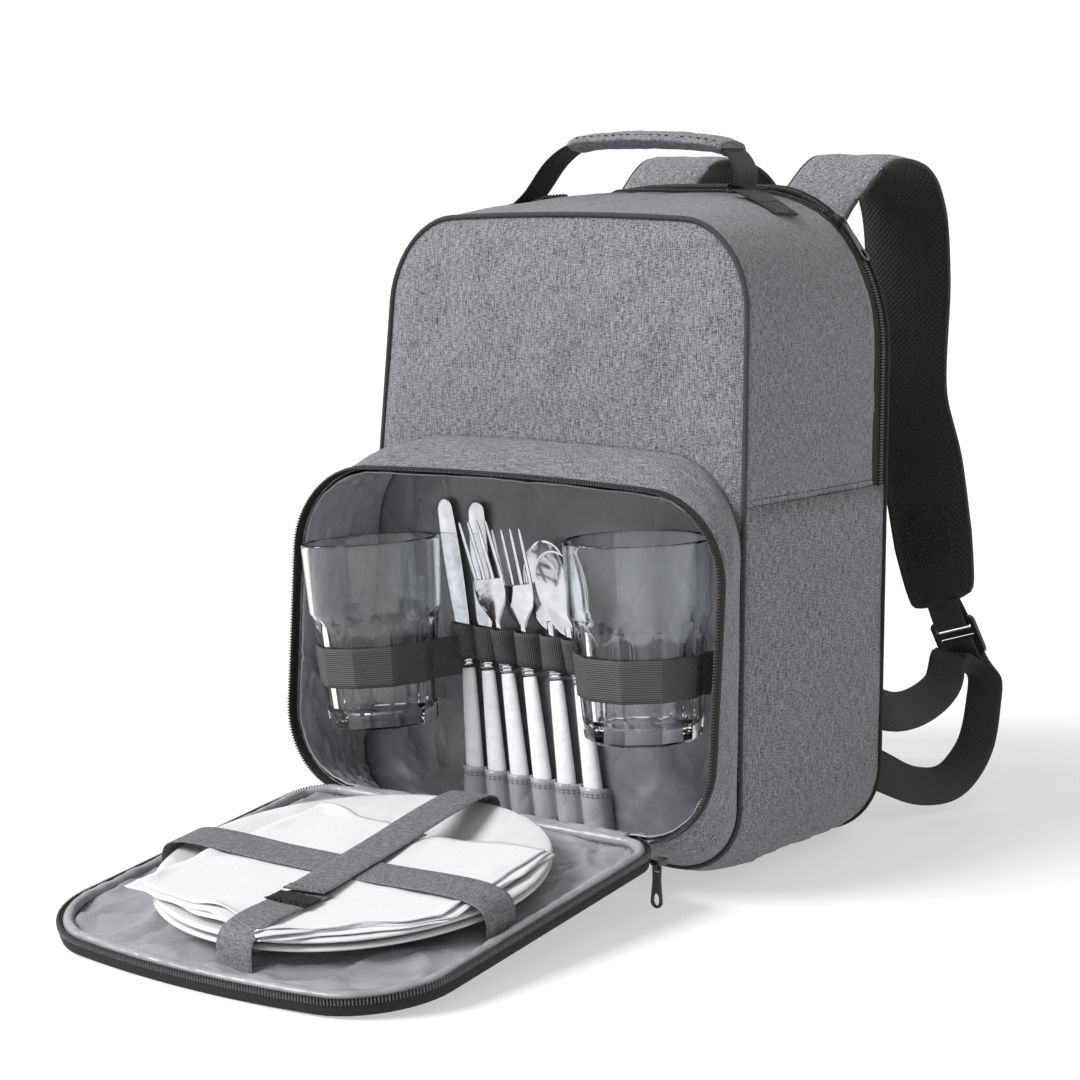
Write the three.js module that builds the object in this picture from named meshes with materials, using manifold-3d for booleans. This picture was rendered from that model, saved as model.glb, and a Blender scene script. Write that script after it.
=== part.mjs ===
// A picnic cooler backpack, standing with its front pocket open, in millimetres, +Z up.
// X runs across the bag, -Y is its front, and the origin is the centre of the base.
import * as THREE from "three";
import { mergeVertices } from "three/addons/utils/BufferGeometryUtils.js";
import Module from "manifold-3d";

const wasm = await Module();
wasm.setup();
const { degToRad, lerp } = THREE.MathUtils;

// Body of the bag
const bodyDepth = 155;
const bodyHalfWidth = 146.5; // at the base
const bodyTopHalfWidth = 131;
const frontHeight = 380;
const rearHeight = 396;
const baseCornerRadius = 45;
const frontTopRadius = 50;
const rearTopRadius = 95;
const topCrown = 6;
const sideSeamHeight = 216;
const leanAngle = 4; // degrees, backwards
const frontLift = 7; // the soft front edge of the base curls up by this much
const liftShare = 0.25; // of the depth, over which the base curls up
const wall = 4; // padded side wall
const seamGap = 0.4; // between neighbouring panels
const panelThickness = 3.2;
const panelBulge = 5;
const pipingRadius = 1.5;
const backPanelThickness = 9;
const backPanelBulge = 4;

// Zip over the top
const zipTapeWidth = 7.7;
const zipTapeThickness = 1.4;
const zipGapWidth = 26; // the open stretch at its widest
const zipGapCentre = 10;
const zipGapHalfLength = 85;

// Sliders and pulls
const sliderLength = 9;
const sliderWidth = 7;
const sliderThickness = 3.2;
const bridgeWidth = 2.4;
const bridgeThickness = 1.1;
const pullBarRadius = 0.7;
const pullClearance = 0.5;
const pullWidth = 7.5;
const pocketPullLength = 23;
const topPullLength = 30;
const topPullDroop = 5; // degrees, where the top pulls rest

// Carry handle
const webbingWidth = 25;
const webbingThickness = 1.6;
const handleDepth = 0.58; // share of the body's depth at which the handle is sewn on
const handleRootX = 97; // outer end of the sewn stretch
const handleRise = 33; // top of the grip above the top of the back
const gripHalfLength = 57;
const gripWidth = 31;
const gripThickness = 11;
const gripClearance = 0.6;

// Shoulder straps
const padWidth = 60;
const padThickness = 9;
const strapReach = 100; // how far the pads stand out behind the back panel
const padTop = 411;
const strapWebbingThickness = 1.5;
const lockWidth = 33;
const lockHeight = 27;
const lockThickness = 3;

// Front pocket
const pocketDepth = 50; // at the middle of its mouth
const mouthSkew = 7.4; // the mouth stands this much further out at its left end
const mouthHalfWidth = 152;
const mouthBottom = 30;
const mouthTop = 231;
const mouthRadius = 50;
const mouthCrown = 5;
const archTop = 248; // the pocket's rear seam on the front panel
const archRadius = 54;
const pocketWall = 3;
const liningThickness = 1;
const pocketTapeDepth = 5;
const pocketTapeThickness = 2.5;

// Flap of the pocket, lying open in front of the bag
const flapHalfWidth = 125;
const flapLength = 252;
const flapFreeRadius = 44;
const flapHingeRadius = 25;
const flapCrown = 14;
const flapPanelThickness = 3.8;
const flapRimDrop = 6; // underside of the flap below its hinge line
const flapRimRise = 3;
const bindingRadius = 2.6;
const hingeForward = 10; // hinge line in front of the mouth
const hingeHeight = 35;
const hingeX = 8;

// Tableware
const glassHeight = 112;
const glassRimRadius = 42;
const glassFootRadius = 33;
const glassShoulder = 0.6; // share of the height
const glassWall = 3;
const glassFloor = 8;
const elasticWidth = 24;
const elasticThickness = 1.2;
const plateRadius = 107;
const plateHeight = 11.5;
const plateStack = 4.6;
const plateAlong = 121.5; // centre of the plates, from the hinge line
const plateX = 3.5;
const cutleryReach = 207; // height of the knives' tips above the floor
const ferruleHeight = 106;
const cutleryFoot = 22;
const cutleryBandHeight = 122;
const sleeveTop = 47;
const plateStrapWidth = 25;
const plateStrapThickness = 1;

// Worked out from the sizes above
const leanSlope = Math.tan(degToRad(leanAngle));
const front = -bodyDepth / 2;
const handleHeight = rearHeight + handleRise;
const clearance = 0.3;
const cornerSteps = 5;

const material = (color, roughness, metalness = 0, opacity = 1) =>
  new THREE.MeshStandardMaterial({ color, roughness, metalness, opacity, transparent: opacity < 1 });
const heather = material(0x77787c, 0.95);
const piping = material(0x3a3b3e, 0.8);
const lining = material(0x8d8e92, 0.35);
const blackWebbing = material(0x141415, 0.85);
const blackMesh = material(0x101011, 0.95);
const zipTape = material(0x1b1b1d, 0.8);
const blackMetal = material(0x17171a, 0.4, 0.6);
const blackPlastic = material(0x151517, 0.5);
const elastic = material(0x4f5053, 0.9);
const chrome = material(0xd9dadd, 0.12, 1);
const whitePlastic = material(0xf2f3f6, 0.35);
const glass = material(0xeef2f4, 0.05, 0, 0.35);
const porcelain = material(0xf4f5f8, 0.25);
const cotton = material(0xf3f3f6, 0.9);

const bag = new THREE.Group();

function addPiece(parent, name, geometry, finish) {
  const mesh = new THREE.Mesh(geometry, finish);
  mesh.name = name;
  parent.add(mesh);
  return mesh;
}

// Turns a closed mesh so that its faces point outwards.
function outward(geometry) {
  const position = geometry.getAttribute("position");
  const index = geometry.index.array;
  const [a, b, c] = [new THREE.Vector3(), new THREE.Vector3(), new THREE.Vector3()];
  let volume = 0;
  for (let i = 0; i < index.length; i += 3) {
    a.fromBufferAttribute(position, index[i]);
    b.fromBufferAttribute(position, index[i + 1]);
    c.fromBufferAttribute(position, index[i + 2]);
    volume += a.dot(b.cross(c));
  }
  if (volume < 0) {
    for (let i = 0; i < index.length; i += 3) {
      [index[i + 1], index[i + 2]] = [index[i + 2], index[i + 1]];
    }
  }
  geometry.computeVertexNormals();
  return geometry;
}

function geometryOf(points, triangles) {
  const geometry = new THREE.BufferGeometry().setFromPoints(points);
  geometry.setIndex(triangles);
  return outward(geometry);
}

// A stack of closed loops with equal counts. Without centres the last loop joins the first again.
function loopSolid(loops, startCentre, endCentre) {
  const count = loops[0].length;
  const points = loops.flat();
  const triangles = [];
  const joins = startCentre ? loops.length - 1 : loops.length;
  for (let k = 0; k < joins; k++) {
    const here = k * count;
    const next = ((k + 1) % loops.length) * count;
    for (let i = 0; i < count; i++) {
      const j = (i + 1) % count;
      triangles.push(here + i, here + j, next + j, here + i, next + j, next + i);
    }
  }
  if (startCentre) {
    const start = points.push(startCentre) - 1;
    const end = points.push(endCentre) - 1;
    const last = (loops.length - 1) * count;
    for (let i = 0; i < count; i++) {
      const j = (i + 1) % count;
      triangles.push(start, j, i, end, last + i, last + j);
    }
  }
  return geometryOf(points, triangles);
}

// A sheet with a thickness: two grids of points, rows along it and columns across it.
function sheetSolid(outer, inner) {
  const rows = outer.length;
  const columns = outer[0].length;
  const points = [...outer.flat(), ...inner.flat()];
  const side = rows * columns;
  const triangles = [];
  const quad = (a, b, c, d) => triangles.push(a, b, c, a, c, d);
  const at = (row, column) => row * columns + column;
  for (let r = 0; r < rows - 1; r++) {
    for (let c = 0; c < columns - 1; c++) {
      quad(at(r, c), at(r + 1, c), at(r + 1, c + 1), at(r, c + 1));
      quad(side + at(r, c), side + at(r, c + 1), side + at(r + 1, c + 1), side + at(r + 1, c));
    }
    quad(at(r, 0), side + at(r, 0), side + at(r + 1, 0), at(r + 1, 0));
    quad(at(r, columns - 1), at(r + 1, columns - 1), side + at(r + 1, columns - 1), side + at(r, columns - 1));
  }
  for (let c = 0; c < columns - 1; c++) {
    quad(at(0, c), at(0, c + 1), side + at(0, c + 1), side + at(0, c));
    quad(at(rows - 1, c), side + at(rows - 1, c), side + at(rows - 1, c + 1), at(rows - 1, c + 1));
  }
  return geometryOf(points, triangles);
}

// Directions along an open or closed run of points.
function tangents(path, closed = false) {
  const last = path.length - 1;
  return path.map((_, i) => {
    const before = closed ? path[(i + last) % path.length] : path[Math.max(i - 1, 0)];
    const after = closed ? path[(i + 1) % path.length] : path[Math.min(i + 1, last)];
    return after.clone().sub(before).normalize();
  });
}

// A flat strap along a path. side(i) is its width direction at point i.
function ribbon(path, side, width, thickness) {
  const along = tangents(path);
  const outer = [];
  const inner = [];
  path.forEach((point, i) => {
    const across = side(i).clone();
    across.addScaledVector(along[i], -across.dot(along[i])).normalize();
    const normal = new THREE.Vector3().crossVectors(along[i], across);
    const half = (typeof width === "function" ? width(i) : width) / 2;
    const corner = (x, n) => point.clone().addScaledVector(across, x * half).addScaledVector(normal, (n * thickness) / 2);
    outer.push([corner(-1, 1), corner(1, 1)]);
    inner.push([corner(-1, -1), corner(1, -1)]);
  });
  return sheetSolid(outer, inner);
}

// A rod of elliptical section along a path, as loops for loopSolid.
function rodLoops(path, side, halfWidth, halfThickness, sides, closed = false) {
  const along = tangents(path, closed);
  return path.map((point, i) => {
    const across = side(i).clone();
    across.addScaledVector(along[i], -across.dot(along[i])).normalize();
    const normal = new THREE.Vector3().crossVectors(along[i], across);
    return Array.from({ length: sides }, (_, k) => {
      const turn = (2 * Math.PI * (k + 0.5)) / sides;
      return point
        .clone()
        .addScaledVector(across, halfWidth(i) * Math.cos(turn))
        .addScaledVector(normal, halfThickness(i) * Math.sin(turn));
    });
  });
}

function rod(path, side, halfWidth, halfThickness, sides) {
  const loops = rodLoops(path, side, halfWidth, halfThickness, sides);
  return loopSolid(loops, path[0].clone(), path.at(-1).clone());
}

// A smooth run of points through a few chosen ones.
function smooth(points, count) {
  return new THREE.CatmullRomCurve3(points, false, "centripetal").getSpacedPoints(count);
}

function lathe(profile, sides) {
  const points = profile.map(([radius, height]) => new THREE.Vector2(radius, height));
  const turned = new THREE.LatheGeometry(points, sides);
  turned.deleteAttribute("normal");
  turned.deleteAttribute("uv");
  const merged = mergeVertices(turned.rotateX(Math.PI / 2), 1e-4);
  const kept = [];
  const index = merged.index.array;
  for (let i = 0; i < index.length; i += 3) {
    const [a, b, c] = [index[i], index[i + 1], index[i + 2]];
    if (a !== b && b !== c && a !== c) kept.push(a, b, c);
  }
  merged.setIndex(kept);
  return outward(merged);
}

function manifoldOf(geometry) {
  const bare = geometry.clone();
  bare.deleteAttribute("normal");
  if (bare.getAttribute("uv")) bare.deleteAttribute("uv");
  const merged = mergeVertices(bare, 1e-4);
  return new wasm.Manifold(
    new wasm.Mesh({
      numProp: 3,
      vertProperties: merged.attributes.position.array,
      triVerts: new Uint32Array(merged.index.array),
    }),
  );
}

function geometryFrom(solid) {
  const mesh = solid.getMesh();
  const geometry = new THREE.BufferGeometry();
  geometry.setAttribute("position", new THREE.BufferAttribute(new Float32Array(mesh.vertProperties), 3));
  geometry.setIndex(Array.from(mesh.triVerts));
  return outward(geometry);
}

const joined = (...pieces) => geometryFrom(pieces.map(manifoldOf).reduce((whole, piece) => whole.add(piece)));

// A flat plate cut to a shape, lying in X and Y, its thickness centred on Z.
function plateOf(shape, thickness, curveSegments = 4) {
  const plate = new THREE.ExtrudeGeometry(shape, { depth: thickness, bevelEnabled: false, curveSegments });
  plate.translate(0, 0, -thickness / 2);
  return outward(mergeVertices(stripped(plate), 1e-4));
}

function stripped(geometry) {
  geometry.deleteAttribute("normal");
  geometry.deleteAttribute("uv");
  return geometry;
}

function roundedRectangle(halfWidth, bottom, top, radius) {
  const shape = new THREE.Shape();
  shape.moveTo(-halfWidth + radius, bottom);
  shape.lineTo(halfWidth - radius, bottom);
  shape.absarc(halfWidth - radius, bottom + radius, radius, -Math.PI / 2, 0);
  shape.lineTo(halfWidth, top - radius);
  shape.absarc(halfWidth - radius, top - radius, radius, 0, Math.PI / 2);
  shape.lineTo(-halfWidth + radius, top);
  shape.absarc(-halfWidth + radius, top - radius, radius, Math.PI / 2, Math.PI);
  shape.lineTo(-halfWidth, bottom + radius);
  shape.absarc(-halfWidth + radius, bottom + radius, radius, Math.PI, 1.5 * Math.PI);
  return shape;
}

// A rounded outline with a crowned top and sides that lean in. It starts at the middle of the bottom and
// goes round by the right. The inset shrinks it evenly, and seam is the height of one fixed point on each side.
function roundedOutline({ halfBottom, halfTop, bottom, top, bottomRadius, topRadius, crown, seam }, inset = 0) {
  const low = bottom + inset;
  const high = top - inset - crown;
  const half = halfBottom - inset;
  const lowRadius = bottomRadius - inset;
  const highRadius = topRadius - inset;
  const corner = (x, z, radius, from) =>
    Array.from({ length: cornerSteps + 1 }, (_, i) => {
      const turn = from + (Math.PI / 2) * (i / cornerSteps);
      return [x + radius * Math.cos(turn), z + radius * Math.sin(turn)];
    });
  const middle = seam ?? (low + lowRadius + high - highRadius) / 2;
  const right = [
    [0, low],
    [(half - lowRadius) / 2, low],
    ...corner(half - lowRadius, low + lowRadius, lowRadius, -Math.PI / 2),
    [half, lerp(low + lowRadius, middle, 0.5)],
    [half, middle],
    [half, lerp(middle, high - highRadius, 0.5)],
    ...corner(half - highRadius, high - highRadius, highRadius, 0),
    [((half - highRadius) * 2) / 3, high],
    [(half - highRadius) / 3, high],
    [0, high],
  ];
  const left = right.slice(1, -1).reverse().map(([x, z]) => [-x, z]);
  return [...right, ...left].map(([x, z]) => {
    const rise = (z - low) / (high - low);
    const narrowing = lerp(1, halfTop / halfBottom, rise);
    return { x: x * narrowing, z: z + crown * rise ** 3 * (1 - (x / half) ** 2) };
  });
}
const seamIndex = 2 + cornerSteps + 1 + 1; // the seam's point on the right side
const outlineCount = 2 * (seamIndex + 1 + cornerSteps + 1 + 3);
const mirrored = (i) => outlineCount - i;

const frontOutline = {
  halfBottom: bodyHalfWidth,
  halfTop: bodyTopHalfWidth,
  bottom: 0,
  top: frontHeight,
  bottomRadius: baseCornerRadius,
  topRadius: frontTopRadius,
  crown: topCrown,
  seam: sideSeamHeight,
};
const rearOutline = { ...frontOutline, top: rearHeight, topRadius: rearTopRadius };

// One loop round the body at a distance behind the front plane, at a distance inside its outer face.
function bodyOutline(depth, inset, seam = sideSeamHeight) {
  const share = THREE.MathUtils.clamp(depth / bodyDepth, 0, 1);
  const ahead = roundedOutline({ ...frontOutline, seam }, inset);
  const behind = roundedOutline({ ...rearOutline, seam }, inset);
  const curl = frontLift * Math.max(0, 1 - share / liftShare) ** 2;
  return ahead.map((point, i) => {
    const z = lerp(point.z, behind[i].z, share);
    return { x: lerp(point.x, behind[i].x, share), z: z + curl * Math.max(0, 1 - z / (1.5 * baseCornerRadius)) };
  });
}
const inBody = (x, depth, z) => new THREE.Vector3(x, front + depth + leanSlope * z, z);

// A point of the body's outer face over the top at a given x, with the direction along the outline and the normal.
function topSurface(x, depth, lift = 0) {
  const loop = bodyOutline(depth, 0);
  for (let i = seamIndex; i < mirrored(seamIndex); i++) {
    const [a, b] = [loop[i], loop[i + 1]];
    if (a.x >= x && b.x <= x && a.x !== b.x) {
      const share = (a.x - x) / (a.x - b.x);
      const along = new THREE.Vector3(a.x - b.x, leanSlope * (a.z - b.z), a.z - b.z).normalize();
      const normal = new THREE.Vector3(-along.z, 0, along.x).normalize();
      return { point: inBody(x, depth, lerp(a.z, b.z, share)).addScaledVector(normal, lift), along, normal };
    }
  }
  throw new Error(`no top surface at x ${x}`);
}

// A panel that fills an outline: rings from the middle of one face over the rim to the middle of the other.
function panel(rim, shares, point, thickness, bulge = () => 0) {
  const centre = { x: 0, z: rim.reduce((sum, p) => sum + p.z, 0) / rim.length };
  const ring = (share, depth, side) =>
    rim.map((p) => {
      const [x, z] = [lerp(centre.x, p.x, share), lerp(centre.z, p.z, share)];
      return point(x, depth + side * bulge(x, z), z);
    });
  const loops = [
    ...shares.map((share) => ring(share, 0, -1)),
    ...shares.toReversed().map((share) => ring(share, thickness, 0)),
  ];
  const start = point(centre.x, -bulge(centre.x, centre.z), centre.z);
  return loopSolid(loops, start, point(centre.x, thickness, centre.z));
}

// The front panel bulges above the pocket and lies flat behind it.
function frontPanel() {
  const rim = bodyOutline(0, 2 * pipingRadius + seamGap);
  const bulgeStart = archTop + 22;
  const bulgeHeight = frontHeight - bulgeStart;
  const bulge = (x, z) =>
    z > bulgeStart
      ? panelBulge * Math.max(0, 1 - (x / bodyTopHalfWidth) ** 2) * Math.sin((Math.PI * (z - bulgeStart)) / bulgeHeight)
      : 0;
  return panel(rim, [0.3, 0.6, 1], inBody, panelThickness, bulge);
}

function frontPiping() {
  const path = bodyOutline(0, pipingRadius + 0.1).map((p) => inBody(p.x, pipingRadius, p.z));
  const radius = () => pipingRadius;
  return loopSolid(rodLoops(path, () => new THREE.Vector3(0, 1, 0), radius, radius, 5, true));
}

// A stretch of the body's side wall between two indices of the outline. depths(i) lists its columns.
function sideWall(from, to, seam, depths, thickness, inset = 0) {
  const outer = [];
  const inner = [];
  for (let step = from; step <= to; step++) {
    const i = (step + outlineCount) % outlineCount;
    const columns = depths(i);
    const point = (depth, inside) => {
      const p = bodyOutline(depth, inside, seam)[i];
      return inBody(p.x, depth, p.z);
    };
    outer.push(columns.map((depth) => point(depth, inset)));
    inner.push(columns.map((depth) => point(depth, inset + thickness)));
  }
  return sheetSolid(outer, inner);
}

const wallStart = panelThickness + clearance;
const lowerGusset = () =>
  sideWall(
    mirrored(seamIndex) - outlineCount,
    seamIndex,
    sideSeamHeight,
    () => [wallStart, bodyDepth * 0.12, bodyDepth * liftShare, bodyDepth * 0.6, bodyDepth],
    wall,
  );

// The zip's line stands open between the sliders, widest at the middle of the stretch.
function zipOpening(i) {
  const p = bodyOutline(bodyDepth, 0)[i];
  const share = (p.x - zipGapCentre) / zipGapHalfLength;
  return p.z > sideSeamHeight && Math.abs(share) < 1 ? zipGapWidth * (1 - share ** 2) : 0;
}
const teethDepth = bodyDepth - zipTapeWidth - clearance;
const upperWallSpan = [seamIndex, mirrored(seamIndex), sideSeamHeight + seamGap];
const upperWallEdge = (i) => teethDepth - zipTapeWidth - 2 * clearance - zipOpening(i);
const upperGusset = () =>
  sideWall(...upperWallSpan, (i) => [wallStart, lerp(wallStart, upperWallEdge(i), 0.5), upperWallEdge(i)], wall);
const frontZipTape = () =>
  sideWall(
    ...upperWallSpan,
    (i) => [teethDepth - zipTapeWidth - zipOpening(i), teethDepth - zipOpening(i)],
    zipTapeThickness,
    0.2,
  );
const rearZipTape = () =>
  sideWall(...upperWallSpan, () => [teethDepth + clearance * 2, bodyDepth], zipTapeThickness, 0.2);

function backPanel() {
  const rim = bodyOutline(bodyDepth, 0.8);
  const behind = (x, depth, z) => inBody(x, bodyDepth + clearance + backPanelThickness - depth, z);
  const bulge = (x, z) =>
    backPanelBulge * Math.max(0, 1 - (x / bodyHalfWidth) ** 2) * Math.max(0, Math.sin((Math.PI * z) / rearHeight));
  return panel(rim, [0.5, 0.88, 1], behind, backPanelThickness, bulge);
}

// A slider with its bridge, in its own frame: X along the zip, Y across it, Z out of it, the origin at the pull's bar.
const barHeight = pullBarRadius + pullClearance;
const bridgeReach = barHeight + bridgeThickness;
function slider() {
  const shape = roundedRectangle(sliderLength / 2, -sliderWidth / 2, sliderWidth / 2, 1.5);
  const body = plateOf(shape, sliderThickness, 2);
  body.translate(bridgeReach - sliderLength / 2, 0, -barHeight - sliderThickness / 2);
  const arch = new THREE.Shape();
  arch.moveTo(bridgeReach, -barHeight - 0.5);
  arch.lineTo(bridgeReach, 0);
  arch.absarc(0, 0, bridgeReach, 0, Math.PI);
  arch.lineTo(-bridgeReach, -barHeight - 0.5);
  arch.lineTo(-barHeight, -barHeight - 0.5);
  arch.lineTo(-barHeight, 0);
  arch.absarc(0, 0, barHeight, Math.PI, 0, true);
  arch.lineTo(barHeight, -barHeight - 0.5);
  const bridge = plateOf(arch, bridgeWidth, 4).rotateX(Math.PI / 2);
  return joined(body, bridge);
}

// A pull whose bar lies on the Y axis of its own frame and whose blade runs along X.
function pull(length) {
  const half = pullWidth / 2;
  const neck = half - 0.8;
  const blade = new THREE.Shape();
  blade.moveTo(-pullBarRadius, -neck);
  blade.lineTo(length * 0.3, -neck + 0.3);
  blade.lineTo(length - half, -half);
  blade.absarc(length - half, 0, half, -Math.PI / 2, Math.PI / 2);
  blade.lineTo(length * 0.3, neck - 0.3);
  blade.lineTo(-pullBarRadius, neck);
  const window = new THREE.Path();
  const windowHalf = bridgeWidth / 2 + pullClearance;
  const windowEnd = bridgeReach + pullClearance;
  window.moveTo(pullBarRadius, -windowHalf);
  window.lineTo(pullBarRadius, windowHalf);
  window.lineTo(windowEnd, windowHalf);
  window.lineTo(windowEnd, -windowHalf);
  const slot = new THREE.Path();
  slot.absellipse(length - half - 1.2, 0, half * 0.95, half * 0.52, 0, 2 * Math.PI);
  blade.holes.push(window, slot);
  return plateOf(blade, 2 * pullBarRadius, 5);
}

function placed(parent, origin, xAxis, zAxis) {
  const group = new THREE.Group();
  const yAxis = new THREE.Vector3().crossVectors(zAxis, xAxis);
  group.matrix.makeBasis(xAxis, yAxis, zAxis).setPosition(origin);
  group.matrix.decompose(group.position, group.quaternion, group.scale);
  parent.add(group);
  return group;
}

// The two top sliders stand at the ends of the open stretch, their pulls lying along the closed zip.
function topSliders() {
  for (const [name, sign] of [["right", 1], ["left", -1]]) {
    const x = zipGapCentre + sign * (zipGapHalfLength + sliderLength / 2);
    const { point, along, normal } = topSurface(x, teethDepth, clearance + sliderThickness + barHeight);
    along.y = 0;
    along.normalize().multiplyScalar(sign);
    const place = placed(bag, point, along, normal);
    addPiece(place, `top_zip_slider_${name}`, slider(), blackMetal);
    const blade = addPiece(place, `top_zip_pull_${name}`, pull(topPullLength), blackMetal);
    blade.rotation.y = degToRad(topPullDroop);
  }
}

// The handle's webbing: sewn flat at each root, rising, and running through the grip.
function handle() {
  const depth = bodyDepth * handleDepth;
  const lift = clearance + 1.5 * webbingThickness;
  const sewn = (x, offset = new THREE.Vector3()) => ({
    at: topSurface(x, depth, lift).point.add(offset),
    across: topSurface(x, depth + webbingWidth / 2).point.sub(topSurface(x, depth - webbingWidth / 2).point),
  });
  const gripY = sewn(0).at.y + 3;
  const free = (x, z) => ({ at: new THREE.Vector3(x, gripY, z), across: new THREE.Vector3(0, webbingWidth, 0) });
  const gripEnd = handleHeight - gripThickness;
  const rows = [
    sewn(-handleRootX + 24),
    sewn(-handleRootX + 8),
    sewn(-handleRootX - 4, new THREE.Vector3(0, 0, 4)),
    free(-handleRootX + 4, handleHeight - 38),
    free(-gripHalfLength - 18, handleHeight - 18),
    free(-gripHalfLength, gripEnd + 3),
    free(-gripHalfLength / 2, handleHeight - 5.5),
    free(0, handleHeight - gripThickness / 2),
    free(gripHalfLength / 2, handleHeight - 7),
    free(gripHalfLength, gripEnd - 1),
    free(gripHalfLength + 10, handleHeight - 25),
    free(gripHalfLength + 9, handleHeight - 36),
    sewn(handleRootX - 23, new THREE.Vector3(-3, 0, 3)),
    sewn(handleRootX - 12),
    sewn(handleRootX),
  ];
  const curve = new THREE.CatmullRomCurve3(rows.map((row) => row.at), false, "centripetal");
  const perRow = 3;
  const steps = perRow * (rows.length - 1);
  const path = Array.from({ length: steps + 1 }, (_, i) => curve.getPoint(i / steps));
  const across = (i) => {
    const row = Math.min(Math.floor(i / perRow), rows.length - 2);
    return rows[row].across.clone().lerp(rows[row + 1].across, i / perRow - row);
  };
  addPiece(bag, "handle_webbing", ribbon(path, across, webbingWidth, webbingThickness), blackWebbing);

  const [first, last] = [5 * perRow, 9 * perRow];
  const gripPath = path.slice(first, last + 1);
  const middle = (last - first) / 2;
  const swell = (i) => 1 - 0.12 * (i / middle - 1) ** 2;
  const level = () => new THREE.Vector3(0, 1, 0);
  const outer = rodLoops(gripPath, level, (i) => (gripWidth / 2) * swell(i), (i) => (gripThickness / 2) * swell(i), 8);
  const slotHalfWidth = () => webbingWidth / Math.SQRT2 + gripClearance;
  const slotHalfThickness = () => webbingThickness / Math.SQRT2 + gripClearance;
  const slot = rodLoops(gripPath, level, slotHalfWidth, slotHalfThickness, 4);
  addPiece(bag, "handle_grip", gripSleeve(outer, slot, gripPath), heather);
}

// The padded sleeve round the webbing: a swollen rod with the webbing's slot cut through it.
function gripSleeve(outer, slot, path) {
  const whole = loopSolid(outer, path[0].clone(), path.at(-1).clone());
  const along = tangents(path);
  const reach = 2;
  const start = slot[0].map((point) => point.clone().addScaledVector(along[0], -reach));
  const end = slot.at(-1).map((point) => point.clone().addScaledVector(along.at(-1), reach));
  const tool = loopSolid(
    [start, ...slot.slice(1, -1), end],
    path[0].clone().addScaledVector(along[0], -reach),
    path.at(-1).clone().addScaledVector(along.at(-1), reach),
  );
  return geometryFrom(manifoldOf(whole).subtract(manifoldOf(tool)));
}

// Shoulder straps. Each row is a place of the pad's middle line: side and up are shares of the body's half
// width and of the pad's top, out is a share of the reach behind the back panel, width of the pad's width.
const rightPadRoute = [
  { side: 0.43, out: 0.054, up: 0.905, width: 0.86 },
  { side: 0.45, out: 0.2, up: 0.955, width: 0.93 },
  { side: 0.52, out: 0.38, up: 0.998, width: 1 },
  { side: 0.57, out: 0.68, up: 0.985, width: 1 },
  { side: 0.575, out: 0.88, up: 0.93, width: 1 },
  { side: 0.585, out: 0.97, up: 0.82, width: 1 },
  { side: 0.6, out: 0.99, up: 0.63, width: 0.98 },
  { side: 0.71, out: 0.97, up: 0.52, width: 0.95 },
  { side: 0.8, out: 0.93, up: 0.41, width: 0.92 },
  { side: 0.87, out: 0.88, up: 0.34, width: 0.8 },
  { side: 0.895, out: 0.86, up: 0.318, width: 0.5 },
];
// The left pad slumps towards the middle of the bag before it hangs down.
const leftPadSlump = [0, 0.02, 0.14, 0.27, 0.33, 0.33, 0.25, 0.14, 0.05, 0, 0];
const backFace = (z) => front + bodyDepth + clearance + backPanelThickness + leanSlope * z;

function shoulderPad(sign) {
  const chosen = rightPadRoute.map(({ side, out, up }, i) => {
    const slump = sign < 0 ? leftPadSlump[i] : 0;
    const z = padTop * up;
    return new THREE.Vector3(sign * bodyHalfWidth * (side - slump), backFace(z) + strapReach * out, z);
  });
  const curve = new THREE.CatmullRomCurve3(chosen, false, "centripetal");
  const steps = 20;
  const path = Array.from({ length: steps + 1 }, (_, i) => curve.getPoint(i / steps));
  const across = () => new THREE.Vector3(1, 0, 0);
  const along = tangents(path);
  const loops = path.map((point, i) => {
    const place = (i / steps) * (rightPadRoute.length - 1);
    const row = Math.min(Math.floor(place), rightPadRoute.length - 2);
    const half = (padWidth / 2) * lerp(rightPadRoute[row].width, rightPadRoute[row + 1].width, place - row);
    const side = across().addScaledVector(along[i], -along[i].x).normalize();
    const normal = new THREE.Vector3().crossVectors(along[i], side);
    const thick = padThickness / 2;
    const section = [[-1, 0], [-0.86, 0.8], [0, 1], [0.86, 0.8], [1, 0], [0.86, -0.8], [0, -1], [-0.86, -0.8]];
    return section.map(([u, v]) =>
      point.clone().addScaledVector(side, u * half).addScaledVector(normal, v * thick),
    );
  });
  return { geometry: loopSolid(loops, path[0].clone(), path.at(-1).clone()), end: path.at(-1), along: along.at(-1) };
}

// The ladder lock hangs from the pad's end; its frame: X across, Y out of its face, Z up along the strap.
const slotHeight = 5;
const slotMiddle = -1;
function ladderLock() {
  const shape = roundedRectangle(lockWidth / 2, -lockHeight / 2, lockHeight / 2, 4);
  const half = webbingWidth / 2 + 1;
  for (const middle of [lockHeight / 2 - lockBar - slotHeight / 2, slotMiddle]) {
    const hole = new THREE.Path();
    hole.moveTo(-half, middle - slotHeight / 2);
    hole.lineTo(-half, middle + slotHeight / 2);
    hole.lineTo(half, middle + slotHeight / 2);
    hole.lineTo(half, middle - slotHeight / 2);
    shape.holes.push(hole);
  }
  return plateOf(shape, lockThickness, 3).rotateX(Math.PI / 2);
}

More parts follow.
